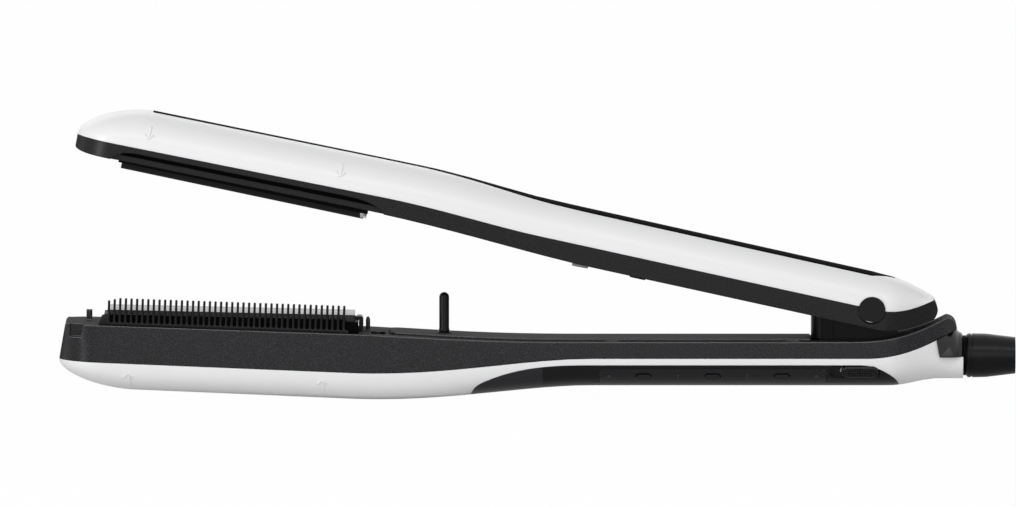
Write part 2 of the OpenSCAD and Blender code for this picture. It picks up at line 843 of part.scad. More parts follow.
// Turned post whose foot stands on the inner cover, clear of the cover's slope
module locating_post() {
    foot_r = post_d / 2 + 0.7;
    base = deck(-post_x - foot_r) + cover_rise + eps;
    color(body_black)
        lower_frame()
            translate([-post_x, 0, 0])
                rotate_extrude()
                    polygon(concat(
                        [[0, base], [foot_r, base], [post_d / 2 + 0.2, base + 0.6], [post_d / 2, base + 1.6]],
                        [for (a = [0:15:90]) [
                            post_d / 2 * cos(a),
                            post_top_z - post_d / 2 + post_d / 2 * sin(a)
                        ]]
                    ));
}

// Trough that carries a plate, drawn face down from its plate's face
module tray(depth, top, shelf) {
    half = plate_len / 2;
    inner_y = tray_y - tray_wall;
    difference() {
        bar(-half - tray_end, half + tray_end, -tray_y, tray_y, -depth, -top);
        bar(-half - seat_gap, half + seat_gap, -inner_y, inner_y, -shelf, 1);
        bar(-half + 4, half - 4, -tray_y + 2.8, tray_y - 2.8, -depth + 1.4, 0);
    }
}

// Plate with folded skirts, its face at Z = 0 and its back below
module plate() {
    edge_r = 0.9;
    inner = plate_w / 2 - 1.3;
    corner_arc = [for (a = [0:15:90]) [plate_w / 2 - edge_r + edge_r * sin(a), -edge_r + edge_r * cos(a)]];
    half = concat(corner_arc, [[plate_w / 2, -skirt_h], [inner, -skirt_h], [inner, -plate_t]]);
    mirrored = [for (p = flip(half)) [-p[0], p[1]]];
    rotate([90, 0, 90])
        linear_extrude(plate_len, center = true)
            polygon(concat(half, mirrored));
}

module lower_tray() {
    color("#161617")
        lower_frame()
            on_plate()
                tray(tray_depth, lower_rim, skirt_h);
}

module lower_plate() {
    color("#3c3c40")
        lower_frame()
            on_plate()
                plate();
}

module heater_bar(drop) {
    bar(-heater_len / 2, heater_len / 2, -heater_w / 2, heater_w / 2, -plate_t - heater_h, -plate_t);
    for (y = [-heater_w / 4, heater_w / 4])
        bar(-heater_len / 2 - drop, -heater_len / 2 + eps, y - 0.8, y + 0.8, -plate_t - 1.4, -plate_t - 0.8);
}

module lower_heater() {
    color("#d9d4c8")
        lower_frame()
            on_plate()
                heater_bar(6);
}

module thermal_fuse() {
    color(metal_grey)
        lower_frame()
            on_plate()
                translate([10, 0, -plate_t - heater_h - 1.05])
                    rotate([0, 90, 0]) {
                        cylinder(9, 1.05, 1.05, center = true);
                        cylinder(26, 0.4, 0.4, center = true, $fn = 16);
                    }
}

// Round-backed clip hooked over the rear wall of the lower plate's tray
module plate_clip() {
    x0 = plate_len / 2 + seat_gap + 0.1;
    x1 = plate_len / 2 + tray_end + seat_gap;
    back_r = 1.3;
    back = [for (a = [180:-20:0]) [x0 + back_r + back_r * cos(a), back_r * sin(a)]];
    color("#4a4a4d")
        lower_frame()
            on_plate()
                translate([0, 0, -lower_rim])
                    rotate([90, 0, 0])
                        linear_extrude(8, center = true)
                            polygon(concat(back, [[x0 + 2 * back_r, -3.4], [x1, -3.4], [x1, 0]]));
}

module steam_bar() {
    half = plate_len / 2;
    y = steam_bar_y - steam_bar_w / 2;
    color("#1d1d1f")
        lower_frame()
            on_plate()
                difference() {
                    bar(-half, half - 3, -steam_bar_y, -steam_bar_y + steam_bar_w, -tray_depth, -1.2);
                    bar(
                        -half + 1.5, half - 4.5, -y - outlet_d / 2, -y + outlet_d / 2,
                        -tray_depth + 1.2, -2.4
                    );
                    for (i = [0:outlet_count - 1])
                        translate([mix(-half + 4, half - 7, i / (outlet_count - 1)), -y, -3])
                            cylinder(3, outlet_d / 2, outlet_d / 2, $fn = 16);
                    translate([tube_rise, -y, -tray_depth - 1])
                        cylinder(3, outlet_d / 2, outlet_d / 2, $fn = 16);
                }
}

module steam_tube() {
    y = -steam_bar_y + steam_bar_w / 2;
    rise_x = plate_mid + tube_rise;
    rise_z = plate_z - tray_depth - 0.1 - tan(plate_tilt) * tube_rise;
    route = [
        [spigot_start - 0.3, 0, hose_z], [17, 0, hose_z], [14, 1, hose_z - 0.6], [9, 7, tube_z + 0.6],
        [6, 8, tube_z], [waist_end, 8, tube_z], [rise_x + 6, 8, tube_z], [rise_x + 2, 6.5, tube_z],
        [rise_x, 3, tube_z], [rise_x, y + 4, tube_z], [rise_x, y + 1, tube_z + 1],
        [rise_x, y, tube_z + 4], [rise_x, y, rise_z]
    ];
    color("#c9c6bd")
        lower_frame()
            tube(route, tube_d / 2, tube_bore / 2);
}

// Comb on its seat: a base strip, a web at its tip end and the row of teeth
module comb() {
    first = plate_start + comb_start;
    last = first + (tooth_count - 1) * tooth_pitch;
    slope = atan2(deck(first) - deck(last), last - first);
    color(body_black)
        lower_frame()
            translate([first, -comb_y, deck(first)])
                rotate([0, slope, 0]) {
                    span = (tooth_count - 1) * tooth_pitch;
                    bar(-3.4, span + 1.6, 0, comb_d, 0, comb_base_h);
                    rotate([90, 0, 0])
                        translate([0, 0, -comb_d])
                            linear_extrude(comb_d)
                                polygon([
                                    [-3.3, comb_base_h - eps], [-2.3, comb_base_h + 2.3],
                                    [0, comb_base_h + 3.4], [0, comb_base_h - eps]
                                ]);
                    for (i = [0:tooth_count - 1])
                        translate([i * tooth_pitch, 0, comb_base_h - eps])
                            tooth(i == 0 ? tooth_h - 0.9 : i == 1 ? tooth_h - 0.4 : tooth_h);
                }
}

// Tooth: a fin with long sloping shoulders and a thin blunt tine on top
module tooth(height) {
    fin_h = height - tine_h;
    side = [
        [fin_w / 2, 0], [fin_w / 2, fin_h], [tine_w / 2, fin_h + shoulder_h],
        [tine_w / 2, height - 0.2], [tine_w / 4, height]
    ];
    outline = concat(side, [for (p = flip(side)) [-p[0], p[1]]]);
    translate([0, comb_d, 0])
        rotate([90, 0, 0])
            linear_extrude(comb_d)
                polygon(outline);
}

// Hinge

module hinge_tower() {
    top = hinge_z + knuckle_r;
    foot_xs = [for (x = lower_xs) if (x > -2 * tower_nose && x < tower_end + 4) x];
    color("#1b1b1d")
        lower_frame()
            difference() {
                union() {
                    intersection() {
                        tower_side(top);
                        translate([0, 0, deck_handle_z - 10])
                            linear_extrude(40)
                                tower_plan();
                        side_slab([for (x = foot_xs) [x, deck(x)]], [for (x = foot_xs) [x, 60]], tower_w);
                    }
                    tower_studs(0, sheet_t + 0.6);
                }
                bar(-tower_nose + 1, -bolt_x + bolt_nose + bolt_t + move_gap, -5, 5, 10, top + 1);
                bar(-6, 12, -spring_half - 0.3, spring_half + 0.3, deck_handle_z + 1.6, top + 1);
                rod(pin_d / 2 + run_gap, 0, -20, 20, hinge_z);
            }
}

// Studs under the tower that pass through the deck
module tower_studs(gap, depth) {
    for (x = [-6.5, 5])
        for (side = [-1, 1])
            translate([x, side * (tower_w / 2 - 2), deck_handle_z - depth])
                cylinder(depth + 1, stud_r + gap, stud_r + gap, $fn = 24);
}

// Side view of the tower, from under the deck to a round top about the pin
module tower_side(top) {
    rotate([90, 0, 0])
        linear_extrude(tower_w + 2, center = true) {
            polygon([
                [-tower_nose, deck_handle_z], [-tower_nose, 29], [-tower_nose + 2, 31], [-4, top],
                [0, top], [tower_end, hinge_z], [tower_end, deck_handle_z]
            ]);
            translate([0, hinge_z])
                circle(knuckle_r);
        }
}

// Plan of the tower: rounded nose, upright rib and body
module tower_plan() {
    nose_r = 5;
    for (side = [-1, 1])
        translate([-tower_nose + nose_r, side * (tower_w / 2 - nose_r)])
            circle(nose_r);
    translate([-tower_nose, -tower_w / 2 + nose_r])
        square([2 * nose_r, tower_w - 2 * nose_r]);
    translate([-tower_nose + nose_r, -tower_w / 2])
        square([tower_nose + tower_end - nose_r, tower_w]);
    translate([-14.6, -tower_w / 2 - 0.6])
        square([1.5, tower_w + 1.2]);
}

// Spring around the pin with one leg in the tower and one under the yoke
module hinge_spring() {
    turns = 2 * spring_half / (spring_wire + 0.35) - 1;
    coil_r = pin_d / 2 + 0.4 + spring_wire / 2;
    count = floor(turns * 12);
    step_y = (2 * spring_half - spring_wire) / count;
    rings = [for (i = [0:count]) [for (j = [0:5])
        let (a = 30 * i, r = coil_r + spring_wire / 2 * cos(60 * j))
        [r * sin(a), -spring_half + spring_wire / 2 + i * step_y + spring_wire / 2 * sin(60 * j), r * cos(a)]
    ]];
    n = count + 1;
    sides = [for (i = [0:count - 1]) for (j = [0:5]) each [
        [i * 6 + j, i * 6 + (j + 1) % 6, (i + 1) * 6 + j],
        [i * 6 + (j + 1) % 6, (i + 1) * 6 + (j + 1) % 6, (i + 1) * 6 + j]
    ]];
    color(metal_grey)
        lower_frame()
            translate([0, 0, hinge_z])
                polyhedron(
                    [for (ring = rings) each ring],
                    concat([[5, 4, 3, 2, 1, 0]], sides, [[for (j = [0:5]) count * 6 + j]])
                );
}

// Hose end

// Black half above the neck with the sleeve that holds the collar
module hose_socket() {
    root_z = seam(horn_root);
    end_z = deck(horn_top) - horn_reach + horn_top;
    sleeve = neck_reach - horn_root;
    fit_r = neck_r - cover_wall - 0.1;
    color(body_black)
        lower_frame()
            difference() {
                union() {
                    intersection() {
                        translate([horn_root, 0, hose_z])
                            rotate([0, 90, 0])
                                rotate_extrude()
                                    polygon([
                                        [0, 0], [12.6, 0], [9.6, sleeve - 2.7], [8.2, sleeve - 1.5],
                                        [7.7, sleeve - 0.5], [6.8, sleeve], [0, sleeve]
                                    ]);
                        side_slab(
                            [[horn_root + 0.02, root_z], [neck_start, hose_z], [neck_reach, hose_z]],
                            [
                                [horn_root + 0.03, root_z + 0.01], [horn_reach, end_z - 0.6],
                                [horn_reach + 0.1, 30], [neck_reach, 30]
                            ],
                            10
                        );
                    }
                    translate([spigot_start, 0, hose_z])
                        rotate([0, 90, 0])
                            cylinder(neck_reach - spigot_start, fit_r, fit_r);
                }
                translate([spigot_start - 1, 0, hose_z])
                    rotate([0, 90, 0])
                        cylinder(20, spigot_r + run_gap, spigot_r + run_gap);
            }
}

// Part turned about the hose axis from a half outline of [distance, radius] points
module turned(outline) {
    translate([0, 0, hose_z])
        rotate([0, 90, 0])
            rotate_extrude()
                polygon([for (p = outline) [p[1], p[0]]]);
}

module socket_ring() {
    x0 = neck_reach;
    x1 = neck_reach + ring_w;
    color("#101011")
        lower_frame()
            turned([[x0, spigot_r + run_gap], [x1, spigot_r + run_gap], [x1, 6.8], [x0, 6.8]]);
}

module hose_seal() {
    color("#5a2a20")
        lower_frame()
            translate([neck_reach - 3, 0, hose_z])
                rotate([0, 90, 0])
                    rotate_extrude()
                        translate([spigot_r - 0.55, 0])
                            circle(0.5, $fn = 16);
}

module hose_collar() {
    x0 = neck_reach + ring_w + 0.1;
    x1 = tail_reach;
    shoulder = x1 - 10;
    color("#1c1c1e")
        lower_frame()
            turned([
                [spigot_start + 0.4, 2.2], [x1 - hose_bore_len, 2.2], [x1 - hose_bore_len, hose_bore_r],
                [x1, hose_bore_r], [x1, collar_end_r], [shoulder, collar_r - 0.1],
                [x0 + 2.2, collar_r], [x0 + 2.1, collar_r - 0.25], [x0 + 1.6, collar_r - 0.25],
                [x0 + 1.5, collar_r], [x0 + 0.8, collar_r],
                [x0, collar_r - 0.6], [x0, spigot_r], [neck_reach - 2.4, spigot_r],
                [neck_reach - 2.4, spigot_r - 1.1], [neck_reach - 3.6, spigot_r - 1.1],
                [neck_reach - 3.6, spigot_r], [spigot_start + 0.4, spigot_r]
            ]);
}

// Upper arm shells

module upper_envelope(floor_t, inset, front, back) {
    xs = concat([front], [for (x = upper_xs) if (x > front && x < back) x], [back]);
    intersection() {
        side_slab([for (x = xs) [x, base(x) + floor_t]], [for (x = xs) [x, rim(x) + 1]], head_w);
        plan_slab(xs, [for (x = xs) upper_w(x, inset)], 0, 60);
    }
}

module upper_block() {
    low_end = upper_tail - tail_round;
    high_end = upper_tail - 2.1;
    waist_z = base(low_end) + 3.5;
    low_round = [for (a = [75:-15:0]) [low_end + tail_round * cos(a), waist_z - 3.5 * sin(a)]];
    high_round = [for (t = [0.2:0.2:0.8])
        [upper_tail - 2.1 * pow(1 - t, 1.6), mix(rim(high_end), waist_z, t)]
    ];
    xs = [for (x = upper_xs) if (x < low_end - 0.3) x];
    plan_xs = concat(upper_xs, [upper_tail + 1]);
    intersection() {
        side_slab(
            concat([for (x = xs) [x, base(x)]], [[low_end, base(low_end)]], low_round),
            concat([for (x = upper_xs) [x, rim(x)]], high_round),
            head_w
        );
        plan_slab(plan_xs, [for (x = plan_xs) upper_w(x)], 0, 60);
    }
}

module upper_body() {
    color(body_black) {
        upper_frame()
            difference() {
                upper_block();
                upper_envelope(sheet_t, body_wall, tip_x + solid_tip - 4, 15);
                comb_recess();
                on_plate()
                    bar(
                        -plate_len / 2 - tray_end - seat_gap, plate_len / 2 + tray_end + seat_gap,
                        -tray_y - seat_gap, tray_y + seat_gap, -2, upper_tray_h + 20
                    );
                upper_envelope(-10, body_wall, -tower_nose - 3.6, 14);
                translate([-post_x, 0, 20])
                    cylinder(20, socket_r + 1.4, socket_r + 1.4);
                rod(cap_d / 2 + 0.1, 0, -20, 20, hinge_z);
            }
        upper_frame()
            floor_tab(waist_end - 5, 5.2, 0.5);
    }
}

// Low rib under the upper arm's floor that meets the inner cover's edge
module floor_tab(x, length, height) {
    xs = [x - length / 2, x + length / 2];
    side_slab([for (x = xs) [x, base(x) - height]], [for (x = xs) [x, base(x) + 0.5]], 4);
}

// Shallow arched recess in the near side that lets the closed comb pass
module comb_recess() {
    x0 = plate_start - 4.2;
    x1 = plate_end + 7;
    lift = 2;
    top = [for (a = [0:15:90]) [x0 + 8 * (1 - cos(a)), mix(base(x0 + 4) - 1, rim(x0 + 8) - lift, sin(a))]];
    end = [for (a = [90:-15:0]) [x1 - 14 * (1 - cos(a)), mix(base(x1) - 1, rim(x1 - 14) - lift, sin(a))]];
    rotate([90, 0, 0])
        translate([0, 0, recess_y])
            linear_extrude(10)
                polygon(concat([[x0, 20]], top, end, [[x1, 20]]));
}

function crown_ring(x, inset, a0, a1, n) =
    bow_arc(a0, a1, n, upper_w(x, inset), rim(x), max(0.3, crest(x) - rim(x) - inset), crown_power);

module upper_cover() {
    xs = upper_xs;
    inner_xs = [for (x = upper_xs) if (x > tip_x + 4 && x < 17) x];
    color(gloss_white)
        upper_frame()
            difference() {
                loft(xs, [for (x = xs) flip(crown_ring(x, 0, 0, 180, 18))]);
                loft(inner_xs, [for (x = inner_xs) flip(concat(
                    crown_ring(x, cover_wall, 0, 180, 14),
                    [[upper_w(x, cover_wall), 0], [-upper_w(x, cover_wall), 0]]
                ))]);
                inset_skin(-0.5, inset_t + 0.05, 0.1);
                rod(cap_d / 2 + 0.1, 0, -20, 20, hinge_z);
            }
}

// Angle around the crown of the inset's near edge: narrow on the head, wider on the handle
function inset_angle(x, gap) =
    let (half_w = blend(x, waist_start, waist_end, inset_head_w, inset_handle_w))
    acos(pow((half_w + gap) / upper_w(x), crown_power / 2));

// Strip along the crest between two depths, pointed at its rear end
module inset_skin(top, bottom, gap) {
    front = [tip_x + 24 - gap];
    rear = [mix(waist_end, 0, 0.42), -8, -2];
    xs = concat(front, steps(tip_x + 60, waist_start, 2), steps(waist_start + 12, waist_end, 6), rear);
    ends = concat([for (x = xs) [x, inset_angle(x, gap)]], [[6 + gap, 85]]);
    rings = [for (e = ends) concat(
        crown_ring(e[0], bottom, e[1], 180 - e[1], 8),
        flip(crown_ring(e[0], top, e[1], 180 - e[1], 8))
    )];
    loft([for (e = ends) e[0]], rings);
}

module crest_inset() {
    color("#111112")
        upper_frame()
            inset_skin(0, inset_t, 0);
}

// Sheet on the floor of the upper handle, with the post's socket
module upper_inner_cover() {
    back = yoke_front - seat_gap;
    xs = concat([cover_front], [for (x = upper_xs) if (x > cover_front && x < back) x], [back]);
    color("#2a2a2c")
        upper_frame()
            difference() {
                union() {
                    side_slab(
                        [for (x = xs) [x, base(x) + sheet_t]],
                        [for (x = xs) [x, base(x) + sheet_t + inner_sheet_t]],
                        handle_w / 2 - body_wall - 0.5
                    );
                    translate([-post_x, 0, base(-post_x) + 0.3])
                        cylinder(sheet_t + 6, socket_r + 1.2, socket_r + 1.2);
                }
                translate([-post_x, 0, 20])
                    cylinder(30, socket_r, socket_r);
            }
}

module upper_tray() {
    color("#161617")
        upper_frame()
            on_plate()
                translate([0, 0, plate_gap])
                    mirror([0, 0, 1])
                        tray(upper_tray_h, upper_rim, skirt_h + float_travel + 0.3);
}

module upper_plate() {
    color("#2c2c30")
        upper_frame()
            on_plate()
                translate([0, 0, plate_gap])
                    mirror([0, 0, 1]) {
                        plate();
                        plate_tab();
                    }
}

// Bare tab at the plate's rear end that keeps it over its tray's rim
module plate_tab() {
    bar(
        plate_len / 2 - eps, plate_len / 2 + tray_end - 0.1,
        -plate_w / 2 + 3, plate_w / 2 - 3,
        -upper_rim + float_travel + 0.1, -0.3
    );
}

module upper_heater() {
    color("#d9d4c8")
        upper_frame()
            on_plate()
                translate([0, 0, plate_gap])
                    mirror([0, 0, 1])
                        heater_bar(1.5);
}

module float_pad(x) {
    gap = plate_t + heater_h + float_travel + 0.1;
    color("#c8603a")
        upper_frame()
            on_plate()
                translate([x, 0, plate_gap])
                    bar(-5, 5, -5, 5, gap, upper_tray_h - 1.4);
}

module float_pad_front() {
    float_pad(-plate_len / 4);
}

module float_pad_rear() {
    float_pad(plate_len / 4);
}

module switch_button() {
    color("#3b3b3e")
        upper_frame()
            translate([-post_x, 0, post_top_z + 0.25])
                cylinder(3, socket_r - 0.3, socket_r - 0.3);
}

module switch_housing() {
    z = post_top_z + 3.25 + switch_travel + 0.2;
    xs = [-post_x - 6, -post_x, -post_x + 6];
    seat = sheet_t + inner_sheet_t;
    color("#20324a")
        upper_frame()
            difference() {
                side_slab([for (x = xs) [x, base(x) + seat + 0.1]], [for (x = xs) [x, z + 3.4]], 4);
                translate([-post_x, 0, 20])
                    cylinder(z - 20, socket_r + 1.3, socket_r + 1.3);
            }
}

// Bracket with two ears that carries the pin, screwed into the upper arm
module hinge_yoke() {
    plate_z0 = base(yoke_front) + sheet_t + 0.05;
    color(metal_grey)
        upper_frame()
            difference() {
                union() {
                    bar(
                        yoke_front, flange_x + flange_t,
                        -handle_w / 2 + body_wall + 0.3, handle_w / 2 - body_wall - 0.3,
                        plate_z0, plate_z0 + flange_t
                    );
                    bar(flange_x, flange_x + flange_t, -ear_y - eps, ear_y + eps, plate_z0, hinge_z + 3.4);
                    for (side = [-1, 1])
                        translate([0, side * (ear_y + ear_t / 2), 0])
                            rotate([90, 0, 0])
                                linear_extrude(ear_t, center = true) {
                                    translate([0, hinge_z])
                                        circle(ear_r);
                                    polygon([
                                        [yoke_front + 4, plate_z0], [flange_x + flange_t, plate_z0],
                                        [-3, hinge_z - 3.2], [0, hinge_z + ear_r],
                                        [-tower_nose, hinge_z + 4], [yoke_front + 4, plate_z0 + 4]
                                    ]);
                                }
                }
                rod(pin_d / 2, 0, -20, 20, hinge_z);
                for (y = [-6, 6])
                    translate([yoke_front + 8, y, 20])
                        cylinder(20, 1.3, 1.3);
            }
}

module hinge_pin() {
    color("#9a9ca0")
        upper_frame()
            rod(pin_d / 2, 0, -pin_half, pin_half, hinge_z);
}

module washer(side) {
    y0 = tower_w / 2 + 0.05;
    y1 = ear_y - 0.05;
    color("#d8d8d2")
        upper_frame()
            difference() {
                rod(pin_d / 2 + 1.6, 0, side > 0 ? y0 : -y1, side > 0 ? y1 : -y0, hinge_z);
                rod(pin_d / 2, 0, -20, 20, hinge_z);
            }
}

module near_washer() {
    washer(-1);
}

module far_washer() {
    washer(1);
}

// Cap over the pin's end with a flat at its foot
module hinge_cap(side) {
    y0 = pin_half + 0.1;
    y1 = handle_w / 2 + 0.3;
    color(panel_black)
        upper_frame()
            difference() {
                rod(cap_d / 2, 0, side > 0 ? y0 : -y1, side > 0 ? y1 : -y0, hinge_z);
                bar(-cap_d, cap_d, -20, 20, hinge_z - cap_d, hinge_z - cap_d / 2 + 0.75);
            }
}

module near_cap() {
    hinge_cap(-1);
}

module far_cap() {
    hinge_cap(1);
}

// Hook under the yoke that reaches into the tower beside the bolt
module lock_hook() {
    stem_x = -bolt_x - slider_travel - move_gap - 1.2;
    color(metal_grey)
        upper_frame() {
            bar(stem_x, stem_x + 1.2, -3.8, -1.2, hook_lip_z, hinge_z + 3);
            bar(stem_x, stem_x + 1.2 + lip_len, -3.8, -1.2, hook_lip_z, hook_lip_z + 1);
            bar(flange_x + flange_t + 0.02, stem_x + 1.2, -3.8, -1.2, hinge_z + 2, hinge_z + 3.4);
        }
}

// Soft pad under the upper handle that meets the closed lower arm
module rest_pad() {
    x = -80;
    ends = [x - 4, x + 4];
    color("#151516")
        upper_frame()
            intersection() {
                translate([x, 0, base(x) - 2])
                    linear_extrude(4)
                        rounded_square(5.4, 12, 1.2);
                side_slab([for (x = ends) [x, base(x) - 1.1]], [for (x = ends) [x, base(x)]], 8);
            }
}

// Round lead laid along the inner sheet from the hinge to the upper tray
module heater_lead() {
    r = 0.9;
    xs = concat([plate_end + tray_end + 1], steps(waist_start + 12, waist_end, 8), [yoke_front - 3]);
    color("#b02a22")
        upper_frame()
            loft(xs, [for (x = xs) [for (a = [0:36:324]) [
                8 - r * sin(a),
                base(x) + sheet_t + inner_sheet_t + r + 0.1 + r * cos(a)
            ]]]);
}

lower_body();
lower_cover();
handle_panel();
control_lens();
indicator_light_1();
indicator_light_2();
indicator_light_3();
indicator_light_4();
power_button();
minus_button();
plus_button();
control_board();
inner_cover();
locating_post();
lower_tray();
lower_plate();
lower_heater();
thermal_fuse();
plate_clip();
steam_bar();
steam_tube();
comb();
hinge_tower();
hinge_spring();
hose_socket();
socket_ring();
hose_seal();
hose_collar();
lock_slider();
lock_bolt();
upper_body();
upper_cover();
crest_inset();
upper_inner_cover();
upper_tray();
upper_plate();
upper_heater();
float_pad_front();
float_pad_rear();
switch_button();
switch_housing();
hinge_yoke();
hinge_pin();
near_washer();
far_washer();
near_cap();
far_cap();
lock_hook();
rest_pad();
heater_lead();
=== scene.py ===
# %% [markdown]
# # Steam hair straightener
# The straightener has two long hinged arms. Each has a black moulded body on the inside, which
# carries a heating plate, and a white gloss cover on the outside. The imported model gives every
# solid in its place. This lesson gives the solids their real finishes and replaces the moulded
# shells with smooth surfaces worked out from the same side-view lines.

# %% Load the fixed frame
import math

import bmesh
import bpy
import numpy as np
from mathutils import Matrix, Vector


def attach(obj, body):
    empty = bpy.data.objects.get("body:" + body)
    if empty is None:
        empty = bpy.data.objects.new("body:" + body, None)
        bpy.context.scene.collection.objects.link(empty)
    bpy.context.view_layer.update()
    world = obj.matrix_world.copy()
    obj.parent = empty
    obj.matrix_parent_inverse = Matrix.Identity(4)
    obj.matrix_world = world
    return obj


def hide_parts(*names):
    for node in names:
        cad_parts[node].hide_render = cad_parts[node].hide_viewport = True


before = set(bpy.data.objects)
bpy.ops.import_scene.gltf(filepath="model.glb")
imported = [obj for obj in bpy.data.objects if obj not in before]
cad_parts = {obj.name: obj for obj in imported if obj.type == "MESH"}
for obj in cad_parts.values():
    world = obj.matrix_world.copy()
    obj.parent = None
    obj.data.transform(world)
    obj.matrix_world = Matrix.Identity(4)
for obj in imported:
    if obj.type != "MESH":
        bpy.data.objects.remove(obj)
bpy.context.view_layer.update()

# %% [markdown]
# ## Camera
# The photograph is a side view from far away, a little above the table. A long lens at eight
# metres gives the same nearly parallel view. An orthographic camera would do too, but a long lens
# keeps the slight perspective of a real studio picture.

# %% Camera
CAMERA_TARGET = np.array([-0.0100, 0.0, 0.0491])
CAMERA_DISTANCE = 8.0
CAMERA_ELEVATION = math.radians(4.4)
FRAME_WIDTH = 0.3454


def make_camera():
    """Lens length is sensor width times distance over the width that the frame shows."""
    data = bpy.data.cameras.new("camera")
    data.sensor_width = 36
    data.lens = data.sensor_width * CAMERA_DISTANCE / FRAME_WIDTH
    data.clip_end = 100
    camera = bpy.data.objects.new("camera", data)
    back = np.array([0, -math.cos(CAMERA_ELEVATION), math.sin(CAMERA_ELEVATION)])
    camera.location = CAMERA_TARGET + CAMERA_DISTANCE * back
    camera.rotation_euler = (math.pi / 2 - CAMERA_ELEVATION, 0, 0)
    bpy.context.scene.collection.objects.link(camera)
    bpy.context.scene.camera = camera
    return camera


camera = make_camera()
bpy.context.scene.view_settings.view_transform = "Standard"
print("lens in mm:", round(camera.data.lens, 1))

# %% [markdown]
# ## Colours and nodes
# Colours are written as sRGB hex values, as a designer reads them off a sample, and one function
# turns them to the linear values that the shader wants. Materials are trees of nodes, and one small
# function adds a node with its settings and its inputs, each of them a link or a plain value.


# %% Colour and node helpers
def linear(hexcode):
    """sRGB hex to linear: v / 12.92 below 0.04045, else ((v + 0.055) / 1.055) to the power 2.4."""
    srgb = np.array([int(hexcode[i:i + 2], 16) for i in (1, 3, 5)]) / 255
    values = np.where(srgb <= 0.04045, srgb / 12.92, ((srgb + 0.055) / 1.055) ** 2.4)
    return (*values.tolist(), 1.0)


def feed(tree, socket, value):
    """Links the input to a value that is a socket, and sets it to any other value."""
    if isinstance(value, bpy.types.NodeSocket):
        tree.links.new(value, socket)
    else:
        socket.default_value = value


def add_node(tree, kind, inputs=None, **settings):
    """Adds a node of this kind with its settings and inputs, each input by its number or name.

    Some nodes keep hidden sockets of the same name, so the one in use is taken.
    """
    node = tree.nodes.new(kind)
    for name, value in settings.items():
        setattr(node, name, value)
    for name, value in (inputs or {}).items():
        if isinstance(name, str):
            feed(tree, next(s for s in node.inputs if s.enabled and s.name == name), value)
        else:
            feed(tree, node.inputs[name], value)
    return node


print("mid grey:", [round(v, 3) for v in linear("#808080")])


# %% [markdown]
# ## Stage and light
# The photograph has a plain white ground. The floor and the world are plain white to the camera,
# and the world is so in reflections too. Reflections see the floor mostly as lit paper, which keeps
# the object's shadow in them. A softbox to the left gives the rounded corner at the tip its
# highlight, a high strip draws one along everything round, a wide low softbox lights the near side
# and one behind lights the far side. An even world fills the rest. The level is one at which a
# colour renders about as it is written and the white covers keep their outline.


# %% Rays that show the background
def seen_rays(tree, gloss=1.0):
    """Share of plain white: 1 for camera and transmission rays, gloss for glossy ones, else 0."""
    path = add_node(tree, "ShaderNodeLightPath")
    glossy = add_node(tree, "ShaderNodeMath", {
        0: path.outputs["Is Glossy Ray"], 1: gloss,
    }, operation="MULTIPLY")
    direct = add_node(tree, "ShaderNodeMath", {
        0: path.outputs["Is Camera Ray"], 1: glossy.outputs[0],
    }, operation="MAXIMUM")
    return add_node(tree, "ShaderNodeMath", {
        0: direct.outputs[0], 1: path.outputs["Is Transmission Ray"],
    }, operation="MAXIMUM").outputs[0]


# %% Floor
# Half its width and its depth under the object, in metres.
FLOOR_HALF, FLOOR_DROP = 30.0, 0.0002
# The camera sees this share of plain white, and the rest as paper, which keeps a faint shadow.
WHITE_SHARE = 0.985
# A reflection sees this part of that share.
REFLECTED_WHITE = 0.3


def make_floor():
    """Wide square just under the object: white to the eye, and matt paper with a shadow besides."""
    mesh = bpy.data.meshes.new("floor")
    corners = FLOOR_HALF * np.array([[-1, -1], [1, -1], [1, 1], [-1, 1]])
    mesh.from_pydata([(x, y, -FLOOR_DROP) for x, y in corners], [], [(0, 1, 2, 3)])
    floor = bpy.data.objects.new("floor", mesh)
    bpy.context.scene.collection.objects.link(floor)
    material = bpy.data.materials.new("matt white paper sweep")
    material.use_nodes = True
    tree = material.node_tree
    tree.nodes.clear()
    paper = add_node(tree, "ShaderNodeBsdfDiffuse", {"Color": linear("#E4E4E4")})
    white = add_node(tree, "ShaderNodeEmission", {"Color": (1, 1, 1, 1), "Strength": 1.0})
    share = add_node(tree, "ShaderNodeMath", {
        0: seen_rays(tree, gloss=REFLECTED_WHITE), 1: WHITE_SHARE,
    }, operation="MULTIPLY")
    mixed = add_node(tree, "ShaderNodeMixShader", {
        0: share.outputs[0], 1: paper.outputs[0], 2: white.outputs[0],
    })
    add_node(tree, "ShaderNodeOutputMaterial", {"Surface": mixed.outputs[0]})
    mesh.materials.append(material)
    return floor


print("floor:", make_floor().name)


# %% World
WORLD_LEVEL = 0.44


def make_world(strength):
    """Even light of this strength, and plain white where the eye or a reflection looks at it."""
    world = bpy.data.worlds.new("studio")
    bpy.context.scene.world = world
    world.use_nodes = True
    tree = world.node_tree
    tree.nodes.clear()
    even = add_node(tree, "ShaderNodeBackground", {"Color": (1, 1, 1, 1), "Strength": strength})
    white = add_node(tree, "ShaderNodeBackground", {"Color": (1, 1, 1, 1), "Strength": 1.0})
    mixed = add_node(tree, "ShaderNodeMixShader", {
        0: seen_rays(tree), 1: even.outputs[0], 2: white.outputs[0],
    })
    add_node(tree, "ShaderNodeOutputWorld", {"Surface": mixed.outputs[0]})


make_world(WORLD_LEVEL)
print("even light:", WORLD_LEVEL)


